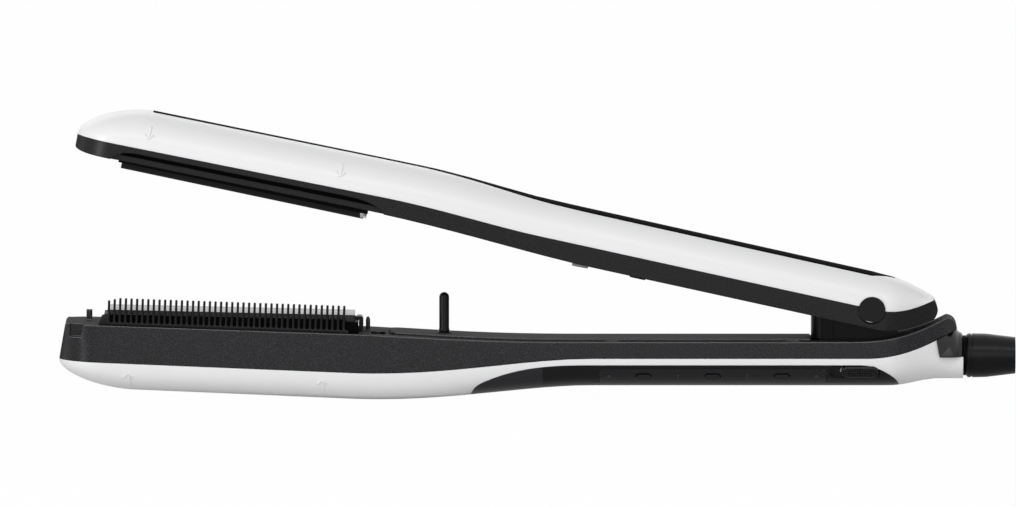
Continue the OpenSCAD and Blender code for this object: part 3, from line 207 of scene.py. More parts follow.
# %% Softboxes
# Name, place and target in metres, width and height in metres, and watts.
SOFTBOXES = [
    ("left strip", (-1.95, -1.65, 0.62), (-0.1, 0, 0.05), (0.5, 1.2), 22),
    ("front softbox", (0.3, -2.4, 0.40), (0, 0, 0.05), (2.4, 0.8), 8),
    ("back softbox", (-0.1, 2.4, 1.0), (0, 0, 0.05), (2.0, 0.8), 4),
    ("high strip", (0.2, -1.9, 1.9), (0, 0, 0.05), (2.4, 0.25), 13),
]


def make_softbox(name, place, target, size, watts):
    """Area lamp of this size at a place, turned to face the target."""
    data = bpy.data.lights.new(name, "AREA")
    data.shape = "RECTANGLE"
    data.size, data.size_y = size
    data.energy = watts
    lamp = bpy.data.objects.new(name, data)
    lamp.location = place
    lamp.rotation_euler = (Vector(target) - Vector(place)).to_track_quat("-Z", "Y").to_euler()
    bpy.context.scene.collection.objects.link(lamp)


for softbox in SOFTBOXES:
    make_softbox(*softbox)


# %% [markdown]
# ## Finishes
# Most of the object is moulded ABS and heat-resistant plastic. Covers are polished, which gives a
# sharp reflection of the softboxes. Bodies come from a spark-eroded mould, whose fine grain scatters
# light and shows as tiny sparkles. Plates are aluminium under a dark ceramic coating. Each material
# is made by one function from a few real facts: colour, roughness, and the size of its grain. Real
# mould grain is a few hundredths of a millimetre. One pixel of the picture is a third of a
# millimetre, so grain and sparkles are drawn as coarse as they need to be to show.


# %% Thresholds of the finishes
# A fleck starts where the noise passes the first value, and has its full colour at the second.
FLECK_RANGE = (0.45, 0.75)
# Share of a face's normal along Y at which it begins to look sideways, and at which it does so.
SIDE_RANGE = (0.3, 0.6)
# How much higher the rounded normal points than the flat one where the painted edge highlight begins
# and where it ends.
EDGE_HIGHLIGHT_RANGE = (0.08, 0.35)
# Colour of the painted shade where a face doesn't look sideways, as on the deck and the tip's front
# face.
PAINTED_SHADE_BLACK = "#070708"
PLASTIC_IOR = 1.5
print("normals count as sideways from a share of", SIDE_RANGE)


# %% Colours that change over a surface
def flecked(tree, place, colour, speckle, speckle_mm):
    """Flecks of a second colour: a noise with scale one over their size in metres, and a ramp."""
    flecks = add_node(tree, "ShaderNodeTexNoise", {
        "Vector": place, "Scale": 1000 / speckle_mm, "Detail": 1.0,
    })
    ramp = add_node(tree, "ShaderNodeValToRGB", {0: flecks.outputs[0]})
    for stop, position, shade in zip(ramp.color_ramp.elements, FLECK_RANGE, (colour, speckle)):
        stop.position = position
        stop.color = linear(shade)
    return ramp.outputs[0]


def coarse_with_painted_shade(tree, shader, surface, roughness, coarse):
    """Coarse, and darkened by painted shade, wherever a face doesn't look sideways, by its normal's
    share along Y.
    """
    normal = add_node(tree, "ShaderNodeNewGeometry").outputs["Normal"]
    facing = add_node(tree, "ShaderNodeSeparateXYZ", {0: normal})
    sideways = add_node(tree, "ShaderNodeMath", {0: facing.outputs["Y"]}, operation="ABSOLUTE")
    share = add_node(tree, "ShaderNodeMapRange", {
        "Value": sideways.outputs[0], "From Min": SIDE_RANGE[0], "From Max": SIDE_RANGE[1],
    }).outputs[0]
    rough = add_node(tree, "ShaderNodeMapRange", {
        "Value": share, "To Min": coarse, "To Max": roughness,
    })
    feed(tree, shader.inputs["Roughness"], rough.outputs[0])
    return add_node(tree, "ShaderNodeMix", {
        "Factor": share, "A": linear(PAINTED_SHADE_BLACK), "B": surface,
    }, data_type="RGBA").outputs[2]


def changed_beyond(tree, place, shader, surface, metallic, beyond):
    """Another colour and metallic share wherever X is past a place, which is given in mm."""
    x_mm, other, metal = beyond
    along = add_node(tree, "ShaderNodeSeparateXYZ", {0: place})
    past = add_node(tree, "ShaderNodeMath", {
        0: along.outputs["X"], 1: x_mm / 1000,
    }, operation="GREATER_THAN").outputs[0]
    if metal != metallic:
        change = add_node(tree, "ShaderNodeMapRange", {
            "Value": past, "To Min": metallic, "To Max": metal,
        })
        feed(tree, shader.inputs["Metallic"], change.outputs[0])
    return add_node(tree, "ShaderNodeMix", {
        "Factor": past, "A": surface, "B": linear(other),
    }, data_type="RGBA").outputs[2]


def painted_edge_highlight(tree, surface, rounded, edge_highlight):
    """Painted highlight on upper edges: where the rounded normal points higher than the flat one."""
    flat = add_node(tree, "ShaderNodeNewGeometry").outputs["Normal"]
    turned = add_node(tree, "ShaderNodeVectorMath", {0: rounded, 1: flat}, operation="SUBTRACT")
    higher = add_node(tree, "ShaderNodeSeparateXYZ", {0: turned.outputs[0]}).outputs["Z"]
    highlight_share = add_node(tree, "ShaderNodeMapRange", {
        "Value": higher, "From Min": EDGE_HIGHLIGHT_RANGE[0], "From Max": EDGE_HIGHLIGHT_RANGE[1],
    })
    return add_node(tree, "ShaderNodeMix", {
        "Factor": highlight_share.outputs[0], "A": surface, "B": linear(edge_highlight),
    }, data_type="RGBA").outputs[2]


# %% Material maker
def make_material(name, colour, roughness, metallic=0.0, gloss=0.5, grain_mm=0.0, grain_depth=0.0,
                  speckle="", speckle_mm=0.0, edge_mm=0.0, coarse=None, beyond=None, edge_highlight=""):
    """Principled surface with fine grain as bump, flecks of a second colour and rounded edges.

    Gloss is the specular level: 0.5 on a smooth surface, and less where pits of a rough one hide
    part of what it would reflect. Coarse is the roughness of faces that don't look sideways, which
    also get a painted shade. Beyond holds a place along X in mm, and the colour and metallic share
    of everything behind it. The last argument is the colour of a painted highlight on upper edges.

    Noise scale is one over the grain's size in metres, because Object coordinates are metres.
    """
    material = bpy.data.materials.new(name)
    material.use_nodes = True
    tree = material.node_tree
    tree.nodes.clear()
    place = add_node(tree, "ShaderNodeTexCoord").outputs["Object"]
    shader = add_node(tree, "ShaderNodeBsdfPrincipled", {
        "Base Color": linear(colour), "Roughness": roughness, "Metallic": metallic,
        "IOR": PLASTIC_IOR, "Specular IOR Level": gloss,
    })
    add_node(tree, "ShaderNodeOutputMaterial", {"Surface": shader.outputs[0]})
    normal = rounded = None
    if edge_mm:
        bevel = add_node(tree, "ShaderNodeBevel", {"Radius": edge_mm / 1000}, samples=4)
        normal = rounded = bevel.outputs[0]
    if grain_mm:
        grain = add_node(tree, "ShaderNodeTexNoise", {
            "Vector": place, "Scale": 1000 / grain_mm, "Detail": 2.0, "Roughness": 0.6,
        })
        facts = {"Height": grain.outputs[0], "Strength": 1.0, "Distance": grain_depth / 1000}
        if normal:
            facts["Normal"] = normal
        normal = add_node(tree, "ShaderNodeBump", facts).outputs[0]
    if normal:
        feed(tree, shader.inputs["Normal"], normal)
    surface = linear(colour)
    if speckle:
        surface = flecked(tree, place, colour, speckle, speckle_mm)
    if coarse:
        surface = coarse_with_painted_shade(tree, shader, surface, roughness, coarse)
    if beyond:
        surface = changed_beyond(tree, place, shader, surface, metallic, beyond)
    if edge_highlight:
        surface = painted_edge_highlight(tree, surface, rounded, edge_highlight)
    feed(tree, shader.inputs["Base Color"], surface)
    return material


# %% The finishes
FINISHES = {
    # polished ABS: white all through, with a faint orange peel from the mould
    "polished white ABS": dict(
        colour="#F2F2F3", roughness=0.34, grain_mm=2.5, grain_depth=0.004, edge_mm=0.3,
    ),
    # spark-eroded ABS: satin sides with a fine grain and tiny sparkles, and a coarser deck with
    # painted shade
    # and a painted highlight along its upper edges
    "spark-eroded black ABS": dict(
        colour="#0B0B0D", roughness=0.26, gloss=0.31, grain_mm=0.3, grain_depth=0.012,
        speckle="#303035", speckle_mm=0.42, edge_mm=0.6, coarse=0.85, edge_highlight="#757578",
    ),
    # the upper arm's body from a finer tool: darker, with less sparkle, and painted shade on its deck
    "fine-eroded black ABS": dict(
        colour="#0C0C0E", roughness=0.36, gloss=0.22, grain_mm=0.3, grain_depth=0.008,
        speckle="#212125", speckle_mm=0.42, edge_mm=0.5, coarse=0.8,
    ),
    # soft-touch lacquer over the crest inset: a rubbery matt black that stays dark from the side
    "soft-touch black lacquer": dict(
        colour="#0A0A0C", roughness=0.75, gloss=0.01, grain_mm=0.4, grain_depth=0.02,
        edge_mm=0.2,
    ),
    # heat-proof nylon of the comb: darker, with rounded edges that catch the light
    "glass-filled black nylon": dict(
        colour="#060607", roughness=0.3, gloss=0.2, grain_mm=0.4, grain_depth=0.004,
        edge_mm=0.35,
    ),
    # tower of the hinge and the closing post: smooth and nearly black
    "polished black acetal": dict(
        colour="#050506", roughness=0.22, gloss=0.12, grain_mm=0.6, grain_depth=0.003,
        edge_mm=0.3,
    ),
    # moulded nylon of the hose socket: satin, with rounded edges that catch the light
    "moulded black nylon": dict(
        colour="#0B0B0C", roughness=0.24, gloss=0.42, grain_mm=0.4, grain_depth=0.004,
        edge_mm=0.3,
    ),
    # polished domes of the slider: each one carries a small highlight on a black ground
    "glossy black nylon": dict(colour="#030303", roughness=0.2, gloss=0.28),
    # smoother satin ABS of the handle panel and the slider, lighter on the panel's front end
    "satin black ABS": dict(
        colour="#29292C", roughness=0.28, gloss=0.2, grain_mm=0.5, grain_depth=0.006,
        edge_mm=0.4, beyond=(1.7, "#101012", 0.0),
    ),
    # smoked polycarbonate of the window and its three buttons: nearly black and glossy
    "smoked polycarbonate": dict(
        colour="#151518", roughness=0.2, gloss=0.3, edge_mm=0.15, grain_mm=3.0,
        grain_depth=0.003,
    ),
    # pale grey moulding of the clip under the upper arm
    "pearl grey ABS": dict(colour="#8A8A8D", roughness=0.4, grain_mm=0.4, grain_depth=0.004),
    # clear light pipe, unlit
    "clear light pipe": dict(
        colour="#2C2C2F", roughness=0.25, gloss=0.4, grain_mm=0.6, grain_depth=0.004,
    ),
    # caps, switch button, inner sheet and plate clip: matt from a fine grain
    "matt black key plastic": dict(
        colour="#101012", roughness=0.36, gloss=0.16, grain_mm=0.3, grain_depth=0.012,
        edge_mm=0.25,
    ),
    # glass-filled PPS: heat resistant, dull, with short fibres near the surface
    "glass-filled black PPS": dict(
        colour="#030304", roughness=0.5, gloss=0.04, grain_mm=0.4, grain_depth=0.008,
        speckle="#0A0A0C", speckle_mm=0.6, edge_mm=0.25,
    ),
    # aluminium under sprayed ceramic: dark and smooth, bare at its rear tab, a painted highlight on
    # its edges
    "ceramic-coated aluminium": dict(
        colour="#0C0C0D", roughness=0.16, metallic=0.1, gloss=0.2, grain_mm=0.3,
        grain_depth=0.002, edge_mm=0.4, beyond=(-60.2, "#B9BABC", 1.0), edge_highlight="#D0D0D2",
    ),
    # pale sintered heater, matt and slightly yellow
    "ceramic heater": dict(colour="#D8D2C4", roughness=0.6, grain_mm=0.4, grain_depth=0.01),
    # pressed spring steel, brightly rolled
    "rolled spring steel": dict(
        colour="#B9BBBD", roughness=0.28, metallic=1.0, grain_mm=0.5, grain_depth=0.004,
    ),
    # moulded silicone: soft, warm orange, dull
    "moulded silicone": dict(colour="#B85A36", roughness=0.6, grain_mm=0.6, grain_depth=0.01),
    # extruded silicone tube: milky, with a soft sheen
    "silicone tube": dict(colour="#CFCBC0", roughness=0.45, grain_mm=0.8, grain_depth=0.006),
    # nitrile rubber ring: brown-red and dull
    "nitrile seal rubber": dict(colour="#54271D", roughness=0.6, grain_mm=0.3, grain_depth=0.01),
    # soft rubber pad: deep black with hardly any gloss
    "soft black rubber": dict(
        colour="#101011", roughness=0.7, gloss=0.2, grain_mm=0.3, grain_depth=0.015, edge_mm=0.3,
    ),
    # acetal washers, dark grey and slippery
    "grey acetal": dict(colour="#4A4A4B", roughness=0.45, grain_mm=0.5, grain_depth=0.006),
    # moulded switch case, dark blue and satin
    "blue switch plastic": dict(colour="#20324A", roughness=0.45, grain_mm=0.4, grain_depth=0.008),
    # fibreglass sleeve of the heater's lead, red
    "red lead insulation": dict(colour="#A82A22", roughness=0.45, grain_mm=0.5, grain_depth=0.006),
    # glass-epoxy circuit board under green lacquer
    "green circuit board": dict(colour="#2F6B3C", roughness=0.4, grain_mm=0.7, grain_depth=0.006),
    # moulded polyamide of the hose collar, satin and nearly black
    "black polyamide collar": dict(
        colour="#060607", roughness=0.33, gloss=0.17, grain_mm=0.35, grain_depth=0.012,
        edge_mm=0.3,
    ),
}
MATERIALS = {name: make_material(name, **facts) for name, facts in FINISHES.items()}
print("finishes:", len(MATERIALS))

# %% [markdown]
# ## Dressing the solids
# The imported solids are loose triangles. A small geometry-nodes modifier joins their corners and
# shades them smooth, except across edges sharper than 30 degrees. The Bevel shader in the
# finishes then rounds those edges to the eye without touching the mesh.


# %% Smoothing modifier
def make_smoothing(angle=30.0):
    """Joins points nearer than a thousandth of a millimetre and keeps edges above the angle sharp."""
    group = bpy.data.node_groups.new("smooth by angle", "GeometryNodeTree")
    group.interface.new_socket("Geometry", in_out="INPUT", socket_type="NodeSocketGeometry")
    group.interface.new_socket("Geometry", in_out="OUTPUT", socket_type="NodeSocketGeometry")
    start = add_node(group, "NodeGroupInput")
    joined = add_node(group, "GeometryNodeMergeByDistance", {
        "Geometry": start.outputs[0], "Distance": 1e-6,
    })
    smooth = add_node(group, "GeometryNodeSetShadeSmooth", {
        "Geometry": joined.outputs[0], "Shade Smooth": True,
    })
    edge = add_node(group, "GeometryNodeInputMeshEdgeAngle")
    steep = add_node(group, "FunctionNodeCompare", {
        0: edge.outputs[0], 1: math.radians(angle),
    }, operation="GREATER_THAN")
    sharp = add_node(group, "GeometryNodeSetShadeSmooth", {
        "Geometry": smooth.outputs[0], "Selection": steep.outputs[0], "Shade Smooth": False,
    }, domain="EDGE")
    add_node(group, "NodeGroupOutput", {0: sharp.outputs[0]})
    return group


smoothing = make_smoothing()
print("modifier nodes:", len(smoothing.nodes))

# %% Finish of each solid
NODE_FINISH = {
    "polished white ABS": ["lower_cover", "upper_cover"],
    "spark-eroded black ABS": ["lower_body", "inner_cover"],
    "fine-eroded black ABS": ["upper_body"],
    "glass-filled black nylon": ["comb"],
    "moulded black nylon": ["hose_socket"],
    "polished black acetal": ["hinge_tower", "locating_post"],
    "satin black ABS": ["handle_panel", "lock_slider"],
    "soft-touch black lacquer": ["crest_inset"],
    "smoked polycarbonate": ["control_lens", "power_button", "minus_button", "plus_button"],
    "clear light pipe": [f"indicator_light_{i}" for i in range(1, 5)],
    "matt black key plastic": [
        "near_cap", "far_cap", "switch_button", "upper_inner_cover", "plate_clip",
    ],
    "glass-filled black PPS": ["lower_tray", "upper_tray", "steam_bar", "socket_ring"],
    "ceramic-coated aluminium": ["lower_plate", "upper_plate"],
    "ceramic heater": ["lower_heater", "upper_heater"],
    "rolled spring steel": [
        "thermal_fuse", "hinge_spring", "lock_bolt", "lock_hook", "hinge_yoke", "hinge_pin",
    ],
    "moulded silicone": ["float_pad_front", "float_pad_rear"],
    "silicone tube": ["steam_tube"],
    "nitrile seal rubber": ["hose_seal"],
    "soft black rubber": ["rest_pad"],
    "grey acetal": ["near_washer", "far_washer"],
    "blue switch plastic": ["switch_housing"],
    "red lead insulation": ["heater_lead"],
    "green circuit board": ["control_board"],
    "black polyamide collar": ["hose_collar"],
}


def dress(node, finish):
    """Gives a solid its finish in every slot and the smoothing modifier."""
    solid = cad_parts[node]
    solid.data.materials.clear()
    solid.data.materials.append(MATERIALS[finish])
    modifier = solid.modifiers.new("smooth by angle", "NODES")
    modifier.node_group = smoothing


for finish, nodes in NODE_FINISH.items():
    for node in nodes:
        dress(node, finish)
left = set(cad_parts) - {n for nodes in NODE_FINISH.values() for n in nodes}
print("solids without a finish:", sorted(left))

# %% [markdown]
# ## Lines of the side view
# All shells follow lines of the closed arms: X in millimetres from the hinge axis, Z above the
# table. The widths come from the plan view. They are the same lines as in the solid model, apart
# from the two noses, which follow the photograph more closely. Here they are functions of whole
# arrays of X.

# %% Main dimensions in millimetres
HINGE_X, HINGE_Z = 113.5, 30.9
OPEN_ANGLE = math.radians(10.6)
TIP, PLATE_START = -276.0, -259.5
WAIST_START, WAIST_END = -178.0, -95.0
HEAD_W, HANDLE_W, CORNER_R = 38.0, 31.0, 14.0
HOSE_Z, NECK_R, NECK_START, NECK_END = 14.4, 7.8, 23.2, 31.2
HORN_START, HORN_ROOT, HORN_TOP, HORN_END = -6.0, 22.1, 25.5, 29.0
UPPER_TAIL = 22.3
PANEL_FRONT, PANEL_TURN, PANEL_BACK, PANEL_T = WAIST_END - 41.4, -4.0, 9.2, 1.4
INSET_START, INSET_TURN, INSET_END, INSET_T = TIP + 24, -2.0, 6.0, 0.9
COVER_WALL, GAP = 1.8, 0.1
print("closed length of the arms in mm:", round(NECK_END - TIP, 1))


# %% Line helpers
def ease(t):
    """Smooth step 3 t squared - 2 t cubed between 0 and 1."""
    t = np.clip(t, 0, 1)
    return t * t * (3 - 2 * t)


def blend(x, x0, x1, a, b):
    """Value a before x0 and b after x1, with a smooth step between them."""
    return a + (b - a) * ease((x - x0) / (x1 - x0))


def line(x, x0, z0, x1, z1):
    """Straight line through two points."""
    return z0 + (z1 - z0) * (x - x0) / (x1 - x0)


def nose(x, drop, length, power):
    """Drop of a rounded nose: 0 at its root, full at the tip, on a superellipse."""
    t = np.clip((TIP + length - x) / length, 0, 1)
    return drop * (1 - (1 - t ** power) ** (1 / power))


def waist(x, head, handle):
    """The head's value in front of the waist and the handle's behind it."""
    return blend(x, WAIST_START, WAIST_END, head, handle)


middle = (WAIST_START + WAIST_END) / 2
print("width halfway along the waist in mm:", round(float(waist(middle, HEAD_W, HANDLE_W)), 2))


# %% Widths
TAIL_START, UPPER_TAIL_W = 4, HANDLE_W / 4


def corner(x):
    """Inset of a quarter circle at the tip's corner."""
    reach = np.clip(TIP + CORNER_R - x, 0, CORNER_R)
    return CORNER_R - np.sqrt(CORNER_R ** 2 - reach ** 2)


def arm_width(x, tail_end, tail_w):
    """Half width: head, waist and handle in front of the hinge, and a narrowing tail behind it."""
    front = waist(x, HEAD_W, HANDLE_W) / 2 - corner(x)
    return np.where(x < 0, front, blend(x, TAIL_START, tail_end, HANDLE_W / 2, tail_w))


def lower_width(x):
    """Half width of the lower arm, which narrows to the neck's radius."""
    return arm_width(x, HORN_END, NECK_R)


def upper_width(x):
    """Half width of the upper arm, whose tail ends 1.5 mm past the cover."""
    return arm_width(x, UPPER_TAIL + 1.5, UPPER_TAIL_W)


print("half width of the neck in mm:", float(lower_width(NECK_END)))


# %% Lines of the lower arm
# Two points of each line along the head: X and Z of the first, then of the second.
DECK_HEAD = (TIP + 9, 26.2, WAIST_START + 6, 22.9)
SEAM_HEAD = (TIP + 15, 13.3, WAIST_START + 12, 9.4)
BELLY_HEAD = (TIP + 20, 3.3, WAIST_START + 7, -0.3)
# Heights along the handle.
DECK_HANDLE, SEAM_HANDLE, BELLY_HANDLE = 20.1, 14.4, 4.4
HORN_RISE, HORN_POWER = 7.8, 2.2
# Drop, length and power of the nose.
LOWER_NOSE = (9.0, 25, 1.7)
# The seam rises behind the hinge by this much times the square of the way.
SEAM_CURL, SEAM_CURL_START = 0.01, -2
NECK_RISE_START = 6
# Power of the section's superellipse: squarer along the arm, and a circle at the neck.
HANDLE_POWER, NECK_POWER = 2.8, 2.0


def deck(x):
    """Top of the lower body with the horn behind the hinge."""
    share = np.clip((x - HORN_START) / (HORN_TOP - HORN_START), 0, 1)
    return waist(x, line(x, *DECK_HEAD), DECK_HANDLE) + HORN_RISE * share ** HORN_POWER


def seam(x):
    """Parting line between the black body and the white cover."""
    curl = SEAM_CURL * np.clip(x - SEAM_CURL_START, 0, None) ** 2
    along = waist(x, line(x, *SEAM_HEAD), SEAM_HANDLE) + curl
    return np.where(x > HORN_ROOT + 0.01, HOSE_Z, along)


def belly(x):
    """Underside of the white cover, kept on or above the table."""
    tail = blend(x, NECK_RISE_START, NECK_START, 0, HOSE_Z - NECK_R - BELLY_HANDLE)
    return waist(x, line(x, *BELLY_HEAD), BELLY_HANDLE) + nose(x, *LOWER_NOSE) + tail


def belly_power(x):
    """Power of the lower section, which falls from the handle's to the neck's."""
    return blend(x, PANEL_BACK, NECK_START, HANDLE_POWER, NECK_POWER)


print("deck, seam and belly at the hinge:", [round(float(f(0.0)), 1) for f in (deck, seam, belly)])


# %% Lines of the upper arm
# Two points of each straight stretch, and the two X values between which they blend.
RIM_HEAD, RIM_HANDLE = (TIP, 39.8, WAIST_START + 6, 38.5), (WAIST_END - 26, 35.2, 0, 31.4)
RIM_WAIST = (WAIST_START + 6, WAIST_END - 20)
CREST_HEAD = (TIP + 21, 51.66, WAIST_START + 18, 50.1)
CREST_HANDLE = (WAIST_END - 24, 46.9, 0, 42.8)
CREST_WAIST = (WAIST_START + 18, WAIST_END - 17)
UPPER_NOSE = (11.8, 24, 1.6)
# Both lines bend behind the hinge, the rim up and the crest down.
RIM_CURL, RIM_CURL_START, CREST_CURL = 0.0206, 2, 0.0098
UPPER_POWER = 2.3


def rim(x):
    """Parting line between the upper body and the upper cover."""
    curl = RIM_CURL * np.clip(x - RIM_CURL_START, 0, None) ** 2
    return blend(x, *RIM_WAIST, line(x, *RIM_HEAD), line(x, *RIM_HANDLE)) + curl


def crest(x):
    """Top line of the upper cover."""
    curl = CREST_CURL * np.clip(x, 0, None) ** 2
    along = blend(x, *CREST_WAIST, line(x, *CREST_HEAD), line(x, *CREST_HANDLE))
    return along - nose(x, *UPPER_NOSE) - curl


print("rim and crest at the hinge in mm:", [round(float(f(0.0)), 1) for f in (rim, crest)])


# %% [markdown]
# ## Shells
# A moulded shell is a wall between an outer and an inner surface. Both are grids: along the arm
# and round the section. The two grids have the same number of points, so the rims and the ends
# close with one strip each. Near the tip the wall grows until the shell is solid.


# %% Placing and grids
def place_lower(points):
    """Closed-arm millimetres to metres of the shared frame, for the lower arm."""
    return (points + [HINGE_X, 0, 0]) / 1000


def place_upper(points):
    """The same for the upper arm, turned up about the hinge axis by the opening angle."""
    x, y, z = points[..., 0], points[..., 1], points[..., 2] - HINGE_Z
    c, s = math.cos(OPEN_ANGLE), math.sin(OPEN_ANGLE)
    return np.stack([x * c + z * s + HINGE_X, y, z * c - x * s + HINGE_Z], -1) / 1000


def grid_faces(first, rows, columns):
    """Quads of a grid whose points are numbered row by row from first."""
    i, j = np.meshgrid(np.arange(rows - 1), np.arange(columns - 1), indexing="ij")
    a = first + i * columns + j
    return np.stack([a, a + 1, a + columns + 1, a + columns], -1).reshape(-1, 4)


def grid_points(xs, y, z):
    """Points of a grid whose rows each stand at one X."""
    return np.stack([np.broadcast_to(xs[:, None], y.shape), y, z], -1)


def strip_faces(one, other):
    """Quads between two rows of point numbers."""
    return np.stack([one[:-1], one[1:], other[1:], other[:-1]], -1)


# %% Finishing a piece
def finish_piece(name, mesh, finish, body, replaced, sharp=35.0):
    """Merges doubled points, turns faces outwards, shades smooth and rides the piece on its body.

    It hides the nodes that it replaces.
    """
    edit = bmesh.new()
    edit.from_mesh(mesh)
    bmesh.ops.remove_doubles(edit, verts=edit.verts, dist=2e-6)
    bmesh.ops.dissolve_degenerate(edit, edges=edit.edges, dist=1e-6)
    bmesh.ops.recalc_face_normals(edit, faces=edit.faces)
    open_edges = sum(1 for e in edit.edges if len(e.link_faces) != 2)
    edit.to_mesh(mesh)
    edit.free()
    mesh.shade_smooth()
    mesh.set_sharp_from_angle(angle=math.radians(sharp))
    mesh.materials.clear()
    mesh.materials.append(MATERIALS[finish])
    piece = bpy.data.objects.new(name, mesh)
    bpy.context.scene.collection.objects.link(piece)
    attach(piece, body)
    if replaced:
        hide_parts(*replaced)
    print(name, "faces:", len(mesh.polygons), "open edges:", open_edges)
    return piece


# %% Shell between two grids
def shell_mesh(name, outer, inner):
    """Closed wall between two grids of points, with strips along both rims and both ends."""
    rows, columns, _ = outer.shape
    count = rows * columns
    number = np.arange(count).reshape(rows, columns)
    faces = [
        grid_faces(0, rows, columns),
        grid_faces(count, rows, columns)[:, ::-1],
        strip_faces(number[:, 0], number[:, 0] + count),
        strip_faces(number[:, -1] + count, number[:, -1]),
        strip_faces(number[0] + count, number[0]),
        strip_faces(number[-1], number[-1] + count),
    ]
    mesh = bpy.data.meshes.new(name)
    points = np.concatenate([outer.reshape(-1, 3), inner.reshape(-1, 3)])
    mesh.from_pydata(points.tolist(), [], np.concatenate(faces).tolist())
    return mesh


# %% Stations along an arm
# Length of the tip with close stations, start of the even ones, and the step between those. The
# last close station is left out, because the first even one stands just in front of it.
TIP_LENGTH, EVEN_START, STEP = CORNER_R * 1.6, TIP + 22, 2.5
# A cover is solid up to the first of these distances from its tip, and hollow from the second.
SOLID_TIP, HOLLOW_FROM = 3, 12


def stations(end):
    """X values up to the end: close together at the tip, and an even step apart behind it."""
    tip = TIP + TIP_LENGTH * (1 - np.cos(np.linspace(0, math.pi / 2, 26)))
    return np.concatenate([tip[:-1], np.arange(EVEN_START, end, STEP), [end]])


def join_stations(front, inside, behind):
    """All X values of a cover in one row, and which of them lie in its pocket."""
    in_pocket = np.repeat([False, True, False], [len(front), len(inside), len(behind)])
    return np.concatenate([front, inside, behind]), in_pocket


def hollow(x):
    """Share of the section that is hollow, eased from none at the solid tip to all behind it."""
    return ease((x - TIP - SOLID_TIP) / (HOLLOW_FROM - SOLID_TIP))


# %% Arc of a shell's section
def signed_power(values, power):
    """The size of each value raised to the power, with the value's sign."""
    return np.sign(values) * np.abs(values) ** power


def arc(angles, width, start_z, depth, power):
    """Superellipse: y = -w |cos a| ^ (2 / p) with the sign of cos a, z = z0 + d |sin a| ^ (2 / p)."""
    exponent = 2 / power[:, None]
    y = -width[:, None] * signed_power(np.cos(angles), exponent)
    z = start_z[:, None] + depth[:, None] * np.abs(np.sin(angles)) ** exponent
    return y, z


def section_angles(edge, side_count, pocket_count):
    """Angles round each section, and which columns lie past the pocket's edge.

    A half runs from the rim to the edge, closer together near the rim by a power of 1.3, and on to
    a right angle. The other half mirrors it, so that two columns follow the pocket's two edges.
    """
    edge = edge[:, None]
    side = np.linspace(0, 1, side_count) ** 1.3
    past = np.linspace(0, 1, pocket_count)
    half = np.concatenate([edge * side, edge + (math.pi / 2 - edge) * past], 1)
    angles = np.concatenate([half, math.pi - half[:, -2::-1]], 1)
    sunk = np.zeros(angles.shape[1], bool)
    sunk[side_count:-side_count] = True
    return angles, sunk


print("columns of a section with 14 and 25 points:", len(section_angles(np.array([1.0]), 14, 25)[1]))


# %% [markdown]
# ## Lower cover
# The white cover wraps the underside of the lower arm from the tip to the neck that holds the hose
# collar. Along the handle it has a pocket, one panel thickness deep, for the dark panel. The
# pocket's edge is a line of the grid, so it stays crisp.


# %% Edge of the handle panel
PANEL_TOP = 12.1
# Drop in mm and power of each fall of the edge: a long bend and a short one, at both ends.
PANEL_FRONT_FALLS = ((7.9, 2.85), (3.2, 40))
PANEL_BACK_FALLS = ((5.8, 2.1), (1.4, 30))
STEEPEST = math.radians(80)


def panel_line(x):
    """Level along the handle, less the drop times the share of the way to the power, at both ends."""
    front = np.clip((WAIST_END - x) / (WAIST_END - PANEL_FRONT), 0, 1)
    back = np.clip((x - PANEL_TURN) / (PANEL_BACK - PANEL_TURN), 0, 1)
    fall = sum(drop * front ** power for drop, power in PANEL_FRONT_FALLS)
    fall = fall + sum(drop * back ** power for drop, power in PANEL_BACK_FALLS)
    return PANEL_TOP - fall


def panel_angle(x):
    """Angle round the section at which the surface reaches the panel's edge, at most 80 degrees."""
    share = np.clip((seam(x) - panel_line(x) - GAP) / (seam(x) - belly(x)), 0, 1)
    return np.minimum(np.arcsin(share ** (belly_power(x) / 2)), STEEPEST)


print("panel edge at its front end in mm:", round(float(panel_line(PANEL_FRONT)), 1))


# %% Upright sides
def upright(xs, y, z, top, count=4):
    """Adds columns at both rims that run straight up from the widest height to the seam."""
    t = np.linspace(0, 1, count, endpoint=False)
    z_side = top[:, None] + (z[:, :1] - top[:, None]) * t
    y_side = np.repeat(y[:, :1], count, 1)
    y = np.concatenate([y_side, y, -y_side], 1)
    z = np.concatenate([z_side, z, z_side[:, ::-1]], 1)
    return grid_points(xs, y, z)


# %% Stations of the lower cover
def lower_stations():
    """Even steps along the arm, and close ones where the pocket starts and ends."""
    inside = np.concatenate([
        PANEL_FRONT - GAP + np.array([0, 0.4, 0.9, 1.6, 2.5, 3.6]),
        np.arange(PANEL_FRONT + 5, PANEL_BACK - 2, STEP),
        PANEL_BACK + GAP - np.array([1.6, 1.0, 0.5, 0]),
    ])
    behind = np.concatenate([
        np.linspace(PANEL_BACK + GAP, HORN_ROOT, 14), np.linspace(NECK_START, NECK_END, 6),
    ])
    return join_stations(stations(PANEL_FRONT - GAP), inside, behind)


# %% Build the lower cover
# The inner surface keeps at least this depth in millimetres, before the solid tip closes it.
THINNEST = 0.02
# The wall thickens by the pocket's depth over this length in front of the panel, and stays thick
# for this length behind it.
THICKEN_OVER, THICK_BEHIND = 8, 1


